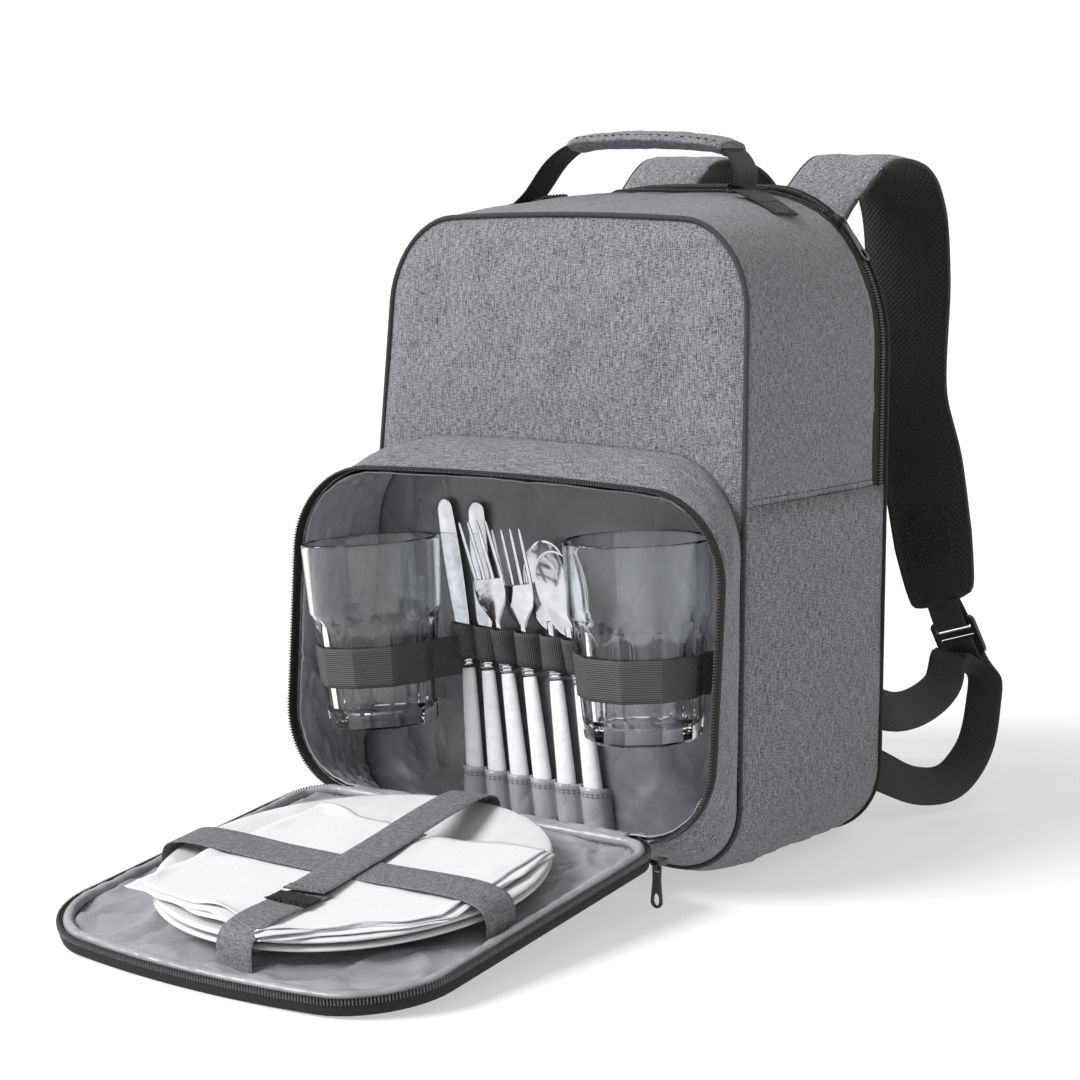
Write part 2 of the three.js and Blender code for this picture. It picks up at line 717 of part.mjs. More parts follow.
// The short loop that ties the lock to the pad: a flat ring of webbing round the lock's top bar.
const lockBar = 3;
const loopBottom = lockHeight / 2 - lockBar - 0.8;
function lockLoop(length) {
  const half = webbingWidth / 2 - 0.5;
  const gap = lockThickness / 2 + 0.8;
  const bottom = loopBottom;
  const loop = (grow) => {
    const points = [];
    for (let i = 0; i <= 6; i++) {
      const turn = Math.PI + (Math.PI * i) / 6;
      points.push([(gap + grow) * Math.cos(turn), bottom + gap * 0.4 + (gap * 0.4 + grow) * Math.sin(turn)]);
    }
    points.push([0.4 + grow, bottom + length - 2], [0.2 + grow, bottom + length + grow]);
    points.push([-0.2 - grow, bottom + length + grow], [-0.4 - grow, bottom + length - 2]);
    return points;
  };
  const at = (x) => ([y, z]) => new THREE.Vector3(x, y, z);
  const [outer, inner] = [loop(strapWebbingThickness), loop(0)];
  return loopSolid([outer.map(at(-half)), outer.map(at(half)), inner.map(at(half)), inner.map(at(-half))]);
}

// The webbing from the bag's lower corner up through the lock and down again as the tail, mirrored by sign.
// Rows are places after the lock's frame: side, back and up as shares of the body's half width, the reach
// and the side seam's height, turn is the ribbon's twist in degrees.
const anchorRoute = [
  { side: 0.8, back: 0.023, up: 0.37, turn: 90 },
  { side: 0.87, back: 0.06, up: 0.352, turn: 85 },
  { side: 0.93, back: 0.2, up: 0.33, turn: 75 },
  { side: 0.96, back: 0.45, up: 0.335, turn: 55 },
  { side: 0.965, back: 0.72, up: 0.38, turn: 25 },
  { side: 0.955, back: 0.83, up: 0.46, turn: 5 },
];
const tailRoute = [
  { side: 1.02, back: 1.13, up: 0.37, turn: 0 },
  { side: 1.03, back: 1.11, up: 0.3, turn: 5 },
  { side: 1.03, back: 1.02, up: 0.17, turn: 20 },
  { side: 1.0, back: 0.8, up: 0.085, turn: 50 },
  { side: 0.95, back: 0.5, up: 0.09, turn: 70 },
  { side: 0.89, back: 0.2, up: 0.15, turn: 85 },
  { side: 0.84, back: 0.05, up: 0.19, turn: 90 },
  { side: 0.79, back: 0.022, up: 0.2, turn: 90 },
];

function shoulderStraps() {
  for (const [name, sign] of [["right", 1], ["left", -1]]) {
    const pad = shoulderPad(sign);
    addPiece(bag, `shoulder_pad_${name}`, pad.geometry, heather);
    const loopLength = 12;
    const hang = loopBottom + loopLength + strapWebbingThickness + 2.1;
    const down = new THREE.Vector3(sign * 0.35, 0.25, -1).normalize();
    const origin = pad.end.clone().addScaledVector(pad.along, clearance).addScaledVector(down, hang);
    const up = down.clone().negate();
    const xAxis = new THREE.Vector3(1, 0, 0);
    xAxis.addScaledVector(up, -xAxis.dot(up)).normalize();
    const lock = placed(bag, origin, xAxis, up);
    addPiece(lock, `strap_lock_${name}`, ladderLock(), blackPlastic);
    addPiece(lock, `lock_loop_${name}`, lockLoop(loopLength), blackWebbing);
    addPiece(bag, `strap_webbing_${name}`, strapWebbing(sign, lock), blackWebbing);
  }
}

function strapWebbing(sign, lock) {
  lock.updateMatrix();
  const lockAcross = new THREE.Vector3(1, 0, 0).applyQuaternion(lock.quaternion);
  const inLock = (y, z) => ({ at: new THREE.Vector3(0, y, z).applyMatrix4(lock.matrix), across: lockAcross });
  const place = ({ side, back, up, turn }) => {
    const z = sideSeamHeight * up;
    return {
      at: new THREE.Vector3(sign * bodyHalfWidth * side, backFace(z) + strapReach * back, z),
      across: new THREE.Vector3(Math.cos(degToRad(turn)), 0, -sign * Math.sin(degToRad(turn))),
    };
  };
  const face = lockThickness / 2 + strapWebbingThickness / 2 + 0.8;
  const rows = [
    ...anchorRoute.map(place),
    inLock(-face, -lockHeight / 2 - 4),
    inLock(-face, slotMiddle - 3),
    inLock(-face * 0.55, slotMiddle + 0.2),
    inLock(0, slotMiddle + 0.9),
    inLock(face * 0.55, slotMiddle + 0.2),
    inLock(face, slotMiddle - 3),
    inLock(face + 1.4, -lockHeight / 2 - 5),
    ...tailRoute.map(place),
  ];
  const curve = new THREE.CatmullRomCurve3(rows.map((row) => row.at), false, "centripetal");
  const steps = 2 * (rows.length - 1);
  const path = Array.from({ length: steps + 1 }, (_, i) => curve.getPoint(i / steps));
  const side = (i) => {
    const row = Math.min(Math.floor(i / 2), rows.length - 2);
    return rows[row].across.clone().lerp(rows[row + 1].across, i / 2 - row);
  };
  return ribbon(path, side, webbingWidth, strapWebbingThickness);
}

// Front pocket: a band from its arched seam on the front panel to its skewed mouth.
const mouthOutline = {
  halfBottom: mouthHalfWidth,
  halfTop: mouthHalfWidth,
  bottom: mouthBottom,
  top: mouthTop,
  bottomRadius: mouthRadius,
  topRadius: mouthRadius,
  crown: mouthCrown,
};
const archOutline = {
  halfBottom: bodyHalfWidth,
  halfTop: lerp(bodyHalfWidth, bodyTopHalfWidth, archTop / frontHeight),
  bottom: 0,
  top: archTop,
  bottomRadius: baseCornerRadius,
  topRadius: archRadius,
  crown: mouthCrown,
};
const pocketSeamInset = 2;
const mouthReach = (x) => pocketDepth - (mouthSkew * x) / mouthHalfWidth;

// A loop of the pocket at a share of its depth from the front panel (0) to the mouth (1).
function pocketLoop(share, inset, back = 0) {
  const rear = roundedOutline(archOutline, inset + pocketSeamInset);
  const mouth = roundedOutline(mouthOutline, inset);
  return mouth.map((point, i) => {
    const rearZ = rear[i].z + frontLift * Math.max(0, 1 - rear[i].z / (1.5 * baseCornerRadius));
    const x = lerp(rear[i].x, point.x, share);
    return inBody(x, -lerp(clearance, mouthReach(x) - back, share), lerp(rearZ, point.z, share));
  });
}

function pocketGusset() {
  const shares = [0, 1];
  const outer = shares.map((share) => pocketLoop(share, 0, pocketTapeDepth + clearance));
  const inner = shares.map((share) => pocketLoop(share, pocketWall, pocketTapeDepth + clearance));
  return loopSolid([...outer, ...inner.toReversed()]);
}

// The lining is a band along the gusset and a sheet on the front panel.
function pocketLining() {
  const band = (share, grow) => pocketLoop(share, pocketWall + clearance + grow, pocketTapeDepth);
  const loops = [band(0, liningThickness), band(1, liningThickness), band(1, 0), band(0, 0)];
  addPiece(bag, "pocket_lining", loopSolid(loops), lining);
  const rim = band(0, liningThickness + 3 * clearance);
  const raised = rim.map((p) => new THREE.Vector3(p.x, p.y - liningThickness, p.z));
  const middle = (archTop + mouthBottom) / 2;
  const sheet = loopSolid(
    [raised, rim],
    inBody(0, -clearance - liningThickness, middle),
    inBody(0, -clearance, middle),
  );
  addPiece(bag, "pocket_lining_back", sheet, lining);
}

// The zip tape round the mouth, open along the hinge.
const hingeIndex = 3; // the outline point where the tape ends, on the right
function pocketZipTape() {
  const rows = [];
  for (let i = hingeIndex; i <= outlineCount - hingeIndex; i++) rows.push(i);
  const edge = (inset, back) => {
    const mouth = roundedOutline(mouthOutline, inset);
    return (i) => inBody(mouth[i].x, -mouthReach(mouth[i].x) + back, mouth[i].z);
  };
  const grid = (inset) => {
    const near = edge(inset, 0);
    const far = edge(inset, pocketTapeDepth);
    return rows.map((i) => [far(i), near(i)]);
  };
  return sheetSolid(grid(0.2), grid(0.2 + pocketTapeThickness));
}

// Things kept in the pocket stand in this frame: its Z runs up the leaning front panel, its -Y out of it.
const pocketFrame = new THREE.Group();
pocketFrame.position.set(0, front, 0);
pocketFrame.rotation.x = -degToRad(leanAngle);
bag.add(pocketFrame);
const liningFace = 2 * clearance + liningThickness;

const glassRadius = (height) => {
  const share = height / glassHeight;
  const shoulderRadius = lerp(glassFootRadius, glassRimRadius, 0.82);
  if (share < glassShoulder) return lerp(glassFootRadius, lerp(glassFootRadius, glassRimRadius, 0.55), share / glassShoulder);
  return lerp(shoulderRadius, glassRimRadius, (share - glassShoulder) / (1 - glassShoulder));
};

function tumbler() {
  const shoulder = glassHeight * glassShoulder;
  const inside = (height) => glassRadius(height) - glassWall;
  return lathe(
    [
      [0, 2],
      [glassFootRadius - 6, 1.2],
      [glassFootRadius - 2, 0],
      [glassFootRadius, 2],
      [glassRadius(shoulder - 0.1), shoulder - 4],
      [glassRadius(shoulder + 0.1), shoulder + 2],
      [glassRimRadius, glassHeight - 1],
      [glassRimRadius - 1, glassHeight],
      [glassRimRadius - glassWall, glassHeight - 1],
      [inside(shoulder + 0.1), shoulder + 2],
      [inside(shoulder - 0.1), shoulder - 4],
      [glassFootRadius - glassWall, glassFloor + 4],
      [glassFootRadius - glassWall - 4, glassFloor],
      [0, glassFloor],
    ],
    16,
  );
}

// Elastic band round a glass, in the glass's frame: its arms run back to the lining past the glass's sides.
function glassBand(height, wallY) {
  const segments = 14;
  const past = degToRad(15);
  const sweep = (Math.PI + 2 * past) / segments;
  const snug = glassRadius(height + elasticWidth / 2) + 2 * clearance + elasticThickness / 2;
  const radius = snug / Math.cos(sweep / 2);
  const arc = Array.from({ length: segments + 1 }, (_, i) => {
    const turn = Math.PI - past + sweep * i;
    return new THREE.Vector3(radius * Math.cos(turn), radius * Math.sin(turn), height);
  });
  const endX = arc[0].x + Math.tan(past) * (wallY - arc[0].y);
  const path = [new THREE.Vector3(endX, wallY, height), ...arc, new THREE.Vector3(-endX, wallY, height)];
  return ribbon(path, () => new THREE.Vector3(0, 0, 1), elasticWidth, elasticThickness);
}

// Each glass leans back on the lining. foot and rim are their places across the pocket as shares of the mouth's
// half width, rise is the foot's height as a share of the mouth's top, and band the elastic's height on the glass
// as a share of the glass's own.
const glassPlaces = [
  { name: "left", foot: -0.597, rim: -0.666, rise: 0.303, band: 0.339 },
  { name: "right", foot: 0.671, rim: 0.638, rise: 0.377, band: 0.33 },
];
function glasses() {
  const glassGeometry = tumbler();
  for (const { name, foot, rim, rise, band } of glassPlaces) {
    const lean = 1.4;
    const footOut = liningFace + glassFootRadius + lean + 1.2;
    const rimOut = liningFace + glassRimRadius + lean;
    const footZ = rise * mouthTop;
    const base = new THREE.Vector3(foot * mouthHalfWidth, -footOut, footZ);
    const top = new THREE.Vector3(rim * mouthHalfWidth, -rimOut, footZ + glassHeight);
    const bandMiddle = band * glassHeight;
    const axis = top.sub(base).normalize();
    const xAxis = new THREE.Vector3(1, 0, 0).addScaledVector(axis, -axis.x).normalize();
    const place = placed(pocketFrame, base, xAxis, axis);
    addPiece(place, `glass_${name}`, glassGeometry.clone(), glass);
    const lowShare = (bandMiddle - elasticWidth / 2) / glassHeight;
    const wallY = lerp(footOut, rimOut, lowShare) - liningFace - 3 * clearance;
    addPiece(place, `glass_band_${name}`, glassBand(bandMiddle, wallY), elastic);
  }
}

// Cutlery, from left to right. foot, neck and tip are places across the pocket as shares of the mouth's half
// width, out is the distance of the head from the lining and height a share of the knives' reach.
const cutlery = [
  { name: "knife_left", kind: "knife", foot: -0.26, neck: -0.335, tip: -0.515, out: 4, height: 1 },
  { name: "knife_right", kind: "knife", foot: -0.14, neck: -0.235, tip: -0.345, out: 4, height: 1 },
  { name: "fork_left", kind: "fork", foot: -0.02, neck: -0.135, tip: -0.225, out: 26, height: 0.955 },
  { name: "fork_right", kind: "fork", foot: 0.095, neck: -0.025, tip: -0.1, out: 18, height: 0.94 },
  { name: "spoon_left", kind: "spoon", foot: 0.21, neck: 0.105, tip: 0.025, out: 10, height: 0.91 },
  { name: "spoon_right", kind: "spoon", foot: 0.34, neck: 0.225, tip: 0.135, out: 24, height: 0.89 },
];
const handleOut = 5.4;
const ferruleLength = 11;
const handleHalfWidth = 6.2;
const neckOut = 5.2;

function forkHead(width, length) {
  const half = width / 2;
  const tine = width / 7;
  const root = length * 0.42;
  const shape = new THREE.Shape();
  shape.moveTo(-2, 0);
  shape.quadraticCurveTo(-half, length * 0.12, -half, root * 0.75);
  for (let k = 0; k < 4; k++) {
    const left = -half + 2 * k * tine;
    for (const share of [0, 0.35, 0.7, 1]) shape.lineTo(left + 0.25 * tine * share, lerp(root, length, share));
    for (const share of [1, 0.7, 0.35, 0]) {
      const right = left + tine - 0.25 * tine * share;
      if (k < 3 || share > 0) shape.lineTo(right, lerp(root, length, share));
    }
  }
  shape.lineTo(half, root * 0.75);
  shape.quadraticCurveTo(half, length * 0.12, 2, 0);
  const head = plateOf(shape, 1.5, 4).rotateX(Math.PI / 2);
  return bent(head, length, 2.4);
}

// Bends a head that stands along Z: a shallow dip backwards and its end forwards.
function bent(geometry, length, forward) {
  const position = geometry.getAttribute("position");
  for (let i = 0; i < position.count; i++) {
    const share = Math.max(0, position.getZ(i) / length);
    position.setY(i, position.getY(i) + forward * (0.9 * Math.sin(Math.PI * share) * (1 - share) - share ** 2));
  }
  return outward(geometry);
}

function spoonBowl(width, length) {
  const sides = 12;
  const dish = 5;
  const thickness = 1.3;
  const ring = (share, depth) =>
    Array.from({ length: sides }, (_, i) => {
      const turn = (2 * Math.PI * i) / sides;
      const z = Math.cos(turn) * 0.5;
      const egg = 1 + 0.18 * Math.cos(turn);
      return new THREE.Vector3((share * egg * width * Math.sin(turn)) / 2, depth, length * (0.5 + share * z));
    });
  const dip = (share) => dish * (1 - share ** 2);
  return loopSolid(
    [
      ring(0.35, dip(0.35)),
      ring(0.7, dip(0.7)),
      ring(0.97, dip(0.97)),
      ring(1, 0.5 * thickness),
      ring(0.97, dip(0.97) + thickness),
      ring(0.7, dip(0.7) + thickness),
      ring(0.35, dip(0.35) + thickness),
    ],
    new THREE.Vector3(0, dip(0), length / 2),
    new THREE.Vector3(0, dip(0) + thickness, length / 2),
  );
}

// Length of the head as a share of the whole metal part. A knife has no head apart from its blade.
const headShares = { knife: 0, fork: 0.7, spoon: 0.66 };
function metalPart(kind, length) {
  const headLength = length * headShares[kind];
  const headStart = length - headLength;
  const stations = [
    { z: 0, w: 4.6, t: 3.6 },
    { z: ferruleLength * 0.5, w: 4.9, t: 3.9 },
    { z: ferruleLength, w: 4.5, t: 3.5 },
    { z: ferruleLength + 3, w: 3, t: 2.3 },
  ];
  if (kind === "knife") {
    stations.push(
      { z: ferruleLength + 7, w: 4.6, t: 1.1 },
      { z: ferruleLength + 18, w: 6.2, t: 0.9 },
      { z: length * 0.62, w: 7.6, t: 0.9 },
      { z: length * 0.88, w: 6.8, t: 0.8 },
      { z: length * 0.97, w: 4.6, t: 0.7 },
      { z: length, w: 1.8, t: 0.6 },
    );
  } else {
    stations.push({ z: lerp(ferruleLength, headStart, 0.6), w: 2.6, t: 1.5 }, { z: headStart + 3, w: 2.4, t: 1 });
  }
  const path = stations.map(({ z }) => new THREE.Vector3(0, 0, z));
  const across = () => new THREE.Vector3(1, 0, 0);
  const shank = rod(path, across, (i) => stations[i].w, (i) => stations[i].t, 6);
  if (kind === "knife") return shank;
  const head = kind === "fork" ? forkHead(24, headLength) : spoonBowl(33, headLength);
  head.translate(0, 0, headStart);
  return joined(shank, head);
}

function cutlerySet() {
  for (const { name, kind, foot, neck, tip, out, height } of cutlery) {
    const neckPoint = new THREE.Vector3(neck * mouthHalfWidth, -liningFace - neckOut, ferruleHeight);
    const footPoint = new THREE.Vector3(foot * mouthHalfWidth, -liningFace - handleOut, cutleryFoot);
    const tipPoint = new THREE.Vector3(tip * mouthHalfWidth, -liningFace - out, cutleryReach * height);
    const handleAxis = neckPoint.clone().sub(footPoint);
    const handleLength = handleAxis.length() - clearance;
    handleAxis.normalize();
    const handlePlace = placed(
      pocketFrame,
      footPoint,
      new THREE.Vector3(1, 0, 0).addScaledVector(handleAxis, -handleAxis.x).normalize(),
      handleAxis,
    );
    const shares = [0, 0.06, 0.3, 0.7, 0.96, 1];
    const swell = [0.55, 0.95, 1, 0.86, 0.76, 0.7];
    const path = shares.map((share) => new THREE.Vector3(0, 0, handleLength * share));
    const half = (i) => handleHalfWidth * swell[i];
    const grip = rod(path, () => new THREE.Vector3(1, 0, 0), half, (i) => half(i) * 0.7, 6);
    addPiece(handlePlace, `${name}_handle`, grip, whitePlastic);

    const headAxis = tipPoint.clone().sub(neckPoint);
    const headLength = headAxis.length() - 4 * clearance;
    headAxis.normalize();
    const start = neckPoint.clone().addScaledVector(headAxis, 4 * clearance);
    const headPlace = placed(
      pocketFrame,
      start,
      new THREE.Vector3(1, 0, 0).addScaledVector(headAxis, -headAxis.x).normalize(),
      headAxis,
    );
    addPiece(headPlace, `${name}_metal`, metalPart(kind, headLength), chrome);
  }
}

// A strip that is sewn down between the pieces and bulges over each of them. It runs at two heights, each
// with its own list of places across the pocket.
function scalloped(levels, thickness) {
  const profile = [[0, 0], [0.13, 0.7], [0.32, 1], [0.68, 1], [0.87, 0.7]];
  const runs = levels.map(({ places, bulges, z }) => {
    const edges = places.slice(1).map((x, i) => (x + places[i]) / 2);
    edges.unshift(2 * places[0] - edges[0]);
    edges.push(2 * places.at(-1) - edges.at(-1));
    const run = [];
    places.forEach((_, i) => {
      for (const [share, rise] of profile) {
        run.push(new THREE.Vector3(lerp(edges[i], edges[i + 1], share), -rise * bulges[i], z));
      }
    });
    run.push(new THREE.Vector3(edges.at(-1), 0, z));
    return run;
  });
  const offset = (run, distance) => {
    const along = tangents(run);
    return run.map((p, i) => {
      const out = liningFace + clearance + thickness / 2;
      return new THREE.Vector3(p.x + along[i].y * distance, p.y - along[i].x * distance - out, p.z);
    });
  };
  const grid = (distance) => {
    const [low, high] = runs.map((run) => offset(run, distance));
    return low.map((p, i) => [p, high[i]]);
  };
  return sheetSolid(grid(thickness / 2), grid(-thickness / 2));
}

function cutleryHolders() {
  const metalRoom = 4;
  const bandAt = (z) => {
    const shares = cutlery.map(({ height }) => (z - ferruleHeight) / (cutleryReach * height - ferruleHeight));
    return {
      z,
      places: cutlery.map(({ neck, tip }, i) => mouthHalfWidth * lerp(neck, tip, shares[i])),
      bulges: cutlery.map(({ out }, i) => lerp(neckOut, out, shares[i]) + metalRoom),
    };
  };
  const bandHalf = elasticWidth / 2 - 2;
  const bandLevels = [bandAt(cutleryBandHeight - bandHalf), bandAt(cutleryBandHeight + bandHalf)];
  addPiece(pocketFrame, "cutlery_band", scalloped(bandLevels, elasticThickness), elastic);
  const sleeveAt = (z) => ({
    z,
    places: cutlery.map(
      ({ foot, neck }) => mouthHalfWidth * lerp(foot, neck, (z - cutleryFoot) / (ferruleHeight - cutleryFoot)),
    ),
    bulges: cutlery.map(() => handleOut + 5.6),
  });
  const sleeveLevels = [sleeveAt(cutleryFoot + 1), sleeveAt(sleeveTop)];
  addPiece(pocketFrame, "cutlery_sleeve", scalloped(sleeveLevels, liningThickness), lining);
}

// The flap and all that it carries lie in its own frame: X across, -Y away from the hinge, Z out of its inside.
const flapFrame = new THREE.Group();
const mouthYaw = Math.atan2(mouthSkew, mouthHalfWidth);
const mouthEdgeY = front - pocketDepth + leanSlope * mouthBottom;
const restClearance = 0.2;
flapFrame.position.set(hingeX, mouthEdgeY - hingeForward, hingeHeight);
flapFrame.rotation.set(
  Math.asin((hingeHeight - flapRimDrop - restClearance) / flapLength),
  0,
  mouthYaw,
  "ZXY",
);
bag.add(flapFrame);

const flapOutline = {
  halfBottom: flapHalfWidth,
  halfTop: flapHalfWidth - 1,
  bottom: 0,
  top: flapLength,
  bottomRadius: flapHingeRadius,
  topRadius: flapFreeRadius,
  crown: flapCrown,
};
const onFlap = (x, height, along) => new THREE.Vector3(x, -along, height);
const tapeInset = 1.6;
const liningTop = -flapRimDrop + flapPanelThickness + clearance + liningThickness;

function flap() {
  const fabricRim = roundedOutline(flapOutline, tapeInset + clearance);
  const atHeight = (base) => (x, height, along) => onFlap(x, base + height, along);
  addPiece(
    flapFrame,
    "flap_panel",
    panel(fabricRim, [1], atHeight(-flapRimDrop), flapPanelThickness),
    heather,
  );
  addPiece(
    flapFrame,
    "flap_lining",
    panel(fabricRim, [1], atHeight(liningTop - liningThickness), liningThickness),
    lining,
  );
  const bindingHeight = liningTop + clearance + bindingRadius;
  const bindingPath = roundedOutline(flapOutline, tapeInset + clearance + bindingRadius + 0.3).map((p) =>
    onFlap(p.x, bindingHeight, p.z),
  );
  const radius = () => bindingRadius;
  addPiece(
    flapFrame,
    "flap_binding",
    loopSolid(rodLoops(bindingPath, () => new THREE.Vector3(0, 0, 1), radius, radius, 5, true)),
    lining,
  );
  const rows = [];
  for (let i = hingeIndex; i <= outlineCount - hingeIndex; i++) rows.push(i);
  const grid = (inset) => {
    const rim = roundedOutline(flapOutline, inset);
    return rows.map((i) => [onFlap(rim[i].x, -flapRimDrop, rim[i].z), onFlap(rim[i].x, flapRimRise, rim[i].z)]);
  };
  addPiece(flapFrame, "flap_zip_tape", sheetSolid(grid(0), grid(tapeInset)), zipTape);
}

// The strip of lining that ties the flap to the mouth's lower edge.
function flapHinge() {
  const half = mouthHalfWidth - mouthRadius - 4;
  const stripThickness = 1.4;
  const place = new THREE.Matrix4().compose(flapFrame.position, flapFrame.quaternion, new THREE.Vector3(1, 1, 1));
  const mouthLow = mouthBottom + pocketWall + clearance + liningThickness;
  const at = (x, share, drop) => {
    const rear = inBody(x, pocketTapeDepth - mouthReach(x) - clearance, mouthLow);
    const ahead = new THREE.Vector3(x, -tapeInset + clearance, liningTop - liningThickness).applyMatrix4(place);
    return rear.lerp(ahead, share).sub(new THREE.Vector3(0, 0, drop));
  };
  const columns = [0, 0.5, 1];
  const grid = (drop) => [-half, -half / 3, half / 3, half].map((x) => columns.map((share) => at(x, share, drop)));
  addPiece(bag, "flap_hinge", sheetSolid(grid(0), grid(stripThickness)), lining);
}

const plateProfile = [
  [0, 1.5],
  [plateRadius * 0.55, 1.5],
  [plateRadius * 0.6, 0],
  [plateRadius * 0.66, 0.4],
  [plateRadius * 0.86, plateHeight * 0.62],
  [plateRadius * 0.985, plateHeight - 2.2],
  [plateRadius, plateHeight - 0.6],
  [plateRadius * 0.975, plateHeight],
  [plateRadius * 0.84, plateHeight * 0.62 + 2.4],
  [plateRadius * 0.64, 3.6],
  [0, 3.4],
];

// Strap over the plates: flat on top, its ends coming down to the lining outside the plates' rims.
function plateStrap(name, top, places) {
  const path = places.map(([x, along, height]) => onFlap(x, height === "top" ? top : height, along));
  const run = path.at(-1).clone().sub(path[0]);
  const side = () => new THREE.Vector3(run.y, -run.x, 0);
  addPiece(flapFrame, name, ribbon(path, side, plateStrapWidth, plateStrapThickness), elastic);
}

function plates() {
  const foot = liningTop + clearance;
  for (const [name, level, shift] of [["plate_lower", 0, 0], ["plate_upper", plateStack, 0.5]]) {
    const plate = addPiece(flapFrame, name, lathe(plateProfile, 20), porcelain);
    plate.position.set(plateX + shift, -plateAlong, foot + level);
  }
  const rimTop = foot + plateStack + plateHeight;
  const napkinThickness = 4;
  const napkinLow = rimTop + clearance;
  // Corners of each folded napkin, as shares of the plate's radius from the plates' centre.
  const napkins = {
    napkin_left: [[-0.65, 0.5], [0, 0.42], [0, -0.9], [-0.48, -0.84], [-0.8, -0.5]],
    napkin_right: [[0.1, 0.4], [0.62, 0.46], [0.86, 0.4], [0.88, -0.2], [0.62, -0.7], [0.1, -0.86]],
  };
  for (const [name, corners] of Object.entries(napkins)) {
    const shape = new THREE.Shape(
      corners.map(([x, y]) => new THREE.Vector2(plateX + x * plateRadius, -plateAlong + y * plateRadius)),
    );
    const cloth = plateOf(shape, napkinThickness);
    cloth.translate(0, 0, napkinLow + napkinThickness / 2);
    addPiece(flapFrame, name, cloth, cotton);
  }
  const firstStrap = napkinLow + napkinThickness + clearance + plateStrapThickness / 2;
  const secondStrap = firstStrap + plateStrapThickness + clearance;
  const low = liningTop + 2 * clearance + plateStrapThickness / 2;
  const outside = plateRadius + 2.6;
  const over = 0.935 * plateRadius;
  const ease = 3; // the straps run out by this much on their way down
  const cross = plateAlong + 0.168 * plateRadius;
  plateStrap("plate_strap_cross", firstStrap, [
    [plateX - outside - ease, cross, low],
    [plateX - outside, cross, rimTop],
    [plateX - over, cross, "top"],
    [plateX, cross, "top"],
    [plateX + over, cross, "top"],
    [plateX + outside, cross, rimTop],
    [plateX + outside + ease / 2, cross, low],
  ]);
  // The strap from the hinge side slants a little to the right on its way to the patch that joins the two.
  const meet = plateAlong + 0.561 * plateRadius;
  const across = (share) => plateX + share * plateStrapWidth;
  plateStrap("plate_strap_rear", secondStrap, [
    [across(0.16), plateAlong - outside - ease / 6, low],
    [across(0.2), plateAlong - outside, rimTop],
    [across(0.24), plateAlong - over, "top"],
    [across(0.48), plateAlong, "top"],
    [across(0.72), meet, "top"],
  ]);
  plateStrap("plate_strap_front", firstStrap, [
    [across(0.76), meet - plateStrapWidth / 3, "top"],
    [across(0.64), plateAlong + over, "top"],
    [across(0.6), plateAlong + outside, rimTop],
    [across(0.6), plateAlong + outside + ease, low],
  ]);
  const patchShape = roundedRectangle(plateStrapWidth / 2 + 1, -6, 6, 1);
  const patch = addPiece(flapFrame, "hook_patch", plateOf(patchShape, 1.6), blackWebbing);
  patch.position.set(across(0.72), -meet - plateStrapWidth / 3, firstStrap + plateStrapThickness / 2 + clearance + 0.8);
}

// The pocket's slider stands at the flap's right hinge corner, its pull hanging straight down.
function pocketSlider() {
  const along = flapHingeRadius * 0.4;
  const beyond = along + bridgeReach;
  const edge = flapHalfWidth - flapHingeRadius + Math.sqrt(flapHingeRadius ** 2 - (flapHingeRadius - beyond) ** 2);
  const corner = new THREE.Vector3(edge + sliderWidth / 2 - clearance, -along, -flapRimDrop + sliderThickness / 2)
    .applyQuaternion(flapFrame.quaternion)
    .add(flapFrame.position);
  const barPoint = corner.add(new THREE.Vector3(0, 0, -sliderThickness / 2 - barHeight));
  const place = placed(bag, barPoint, new THREE.Vector3(0, -1, 0), new THREE.Vector3(0, 0, -1));
  addPiece(place, "pocket_zip_slider", slider(), blackMetal);
  const blade = addPiece(place, "pocket_zip_pull", pull(pocketPullLength), blackMetal);
  blade.rotation.y = -Math.PI / 2;
}

addPiece(bag, "front_panel", frontPanel(), heather);
addPiece(bag, "front_piping", frontPiping(), piping);
addPiece(bag, "lower_gusset", lowerGusset(), heather);
addPiece(bag, "upper_gusset", upperGusset(), heather);
addPiece(bag, "top_zip_tape_front", frontZipTape(), zipTape);
addPiece(bag, "top_zip_tape_rear", rearZipTape(), zipTape);
addPiece(bag, "back_panel", backPanel(), blackMesh);
topSliders();
handle();
shoulderStraps();
addPiece(bag, "pocket_gusset", pocketGusset(), heather);
pocketLining();
addPiece(bag, "pocket_zip_tape", pocketZipTape(), zipTape);
glasses();
cutlerySet();
cutleryHolders();
flap();
flapHinge();
plates();
pocketSlider();

export default bag;
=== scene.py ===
# %% [markdown]
# A picnic cooler backpack stands with its front pocket open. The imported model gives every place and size;
# this lesson dresses it: cloth that bulges, film that creases, webbing that twists, glass, steel and
# melamine.

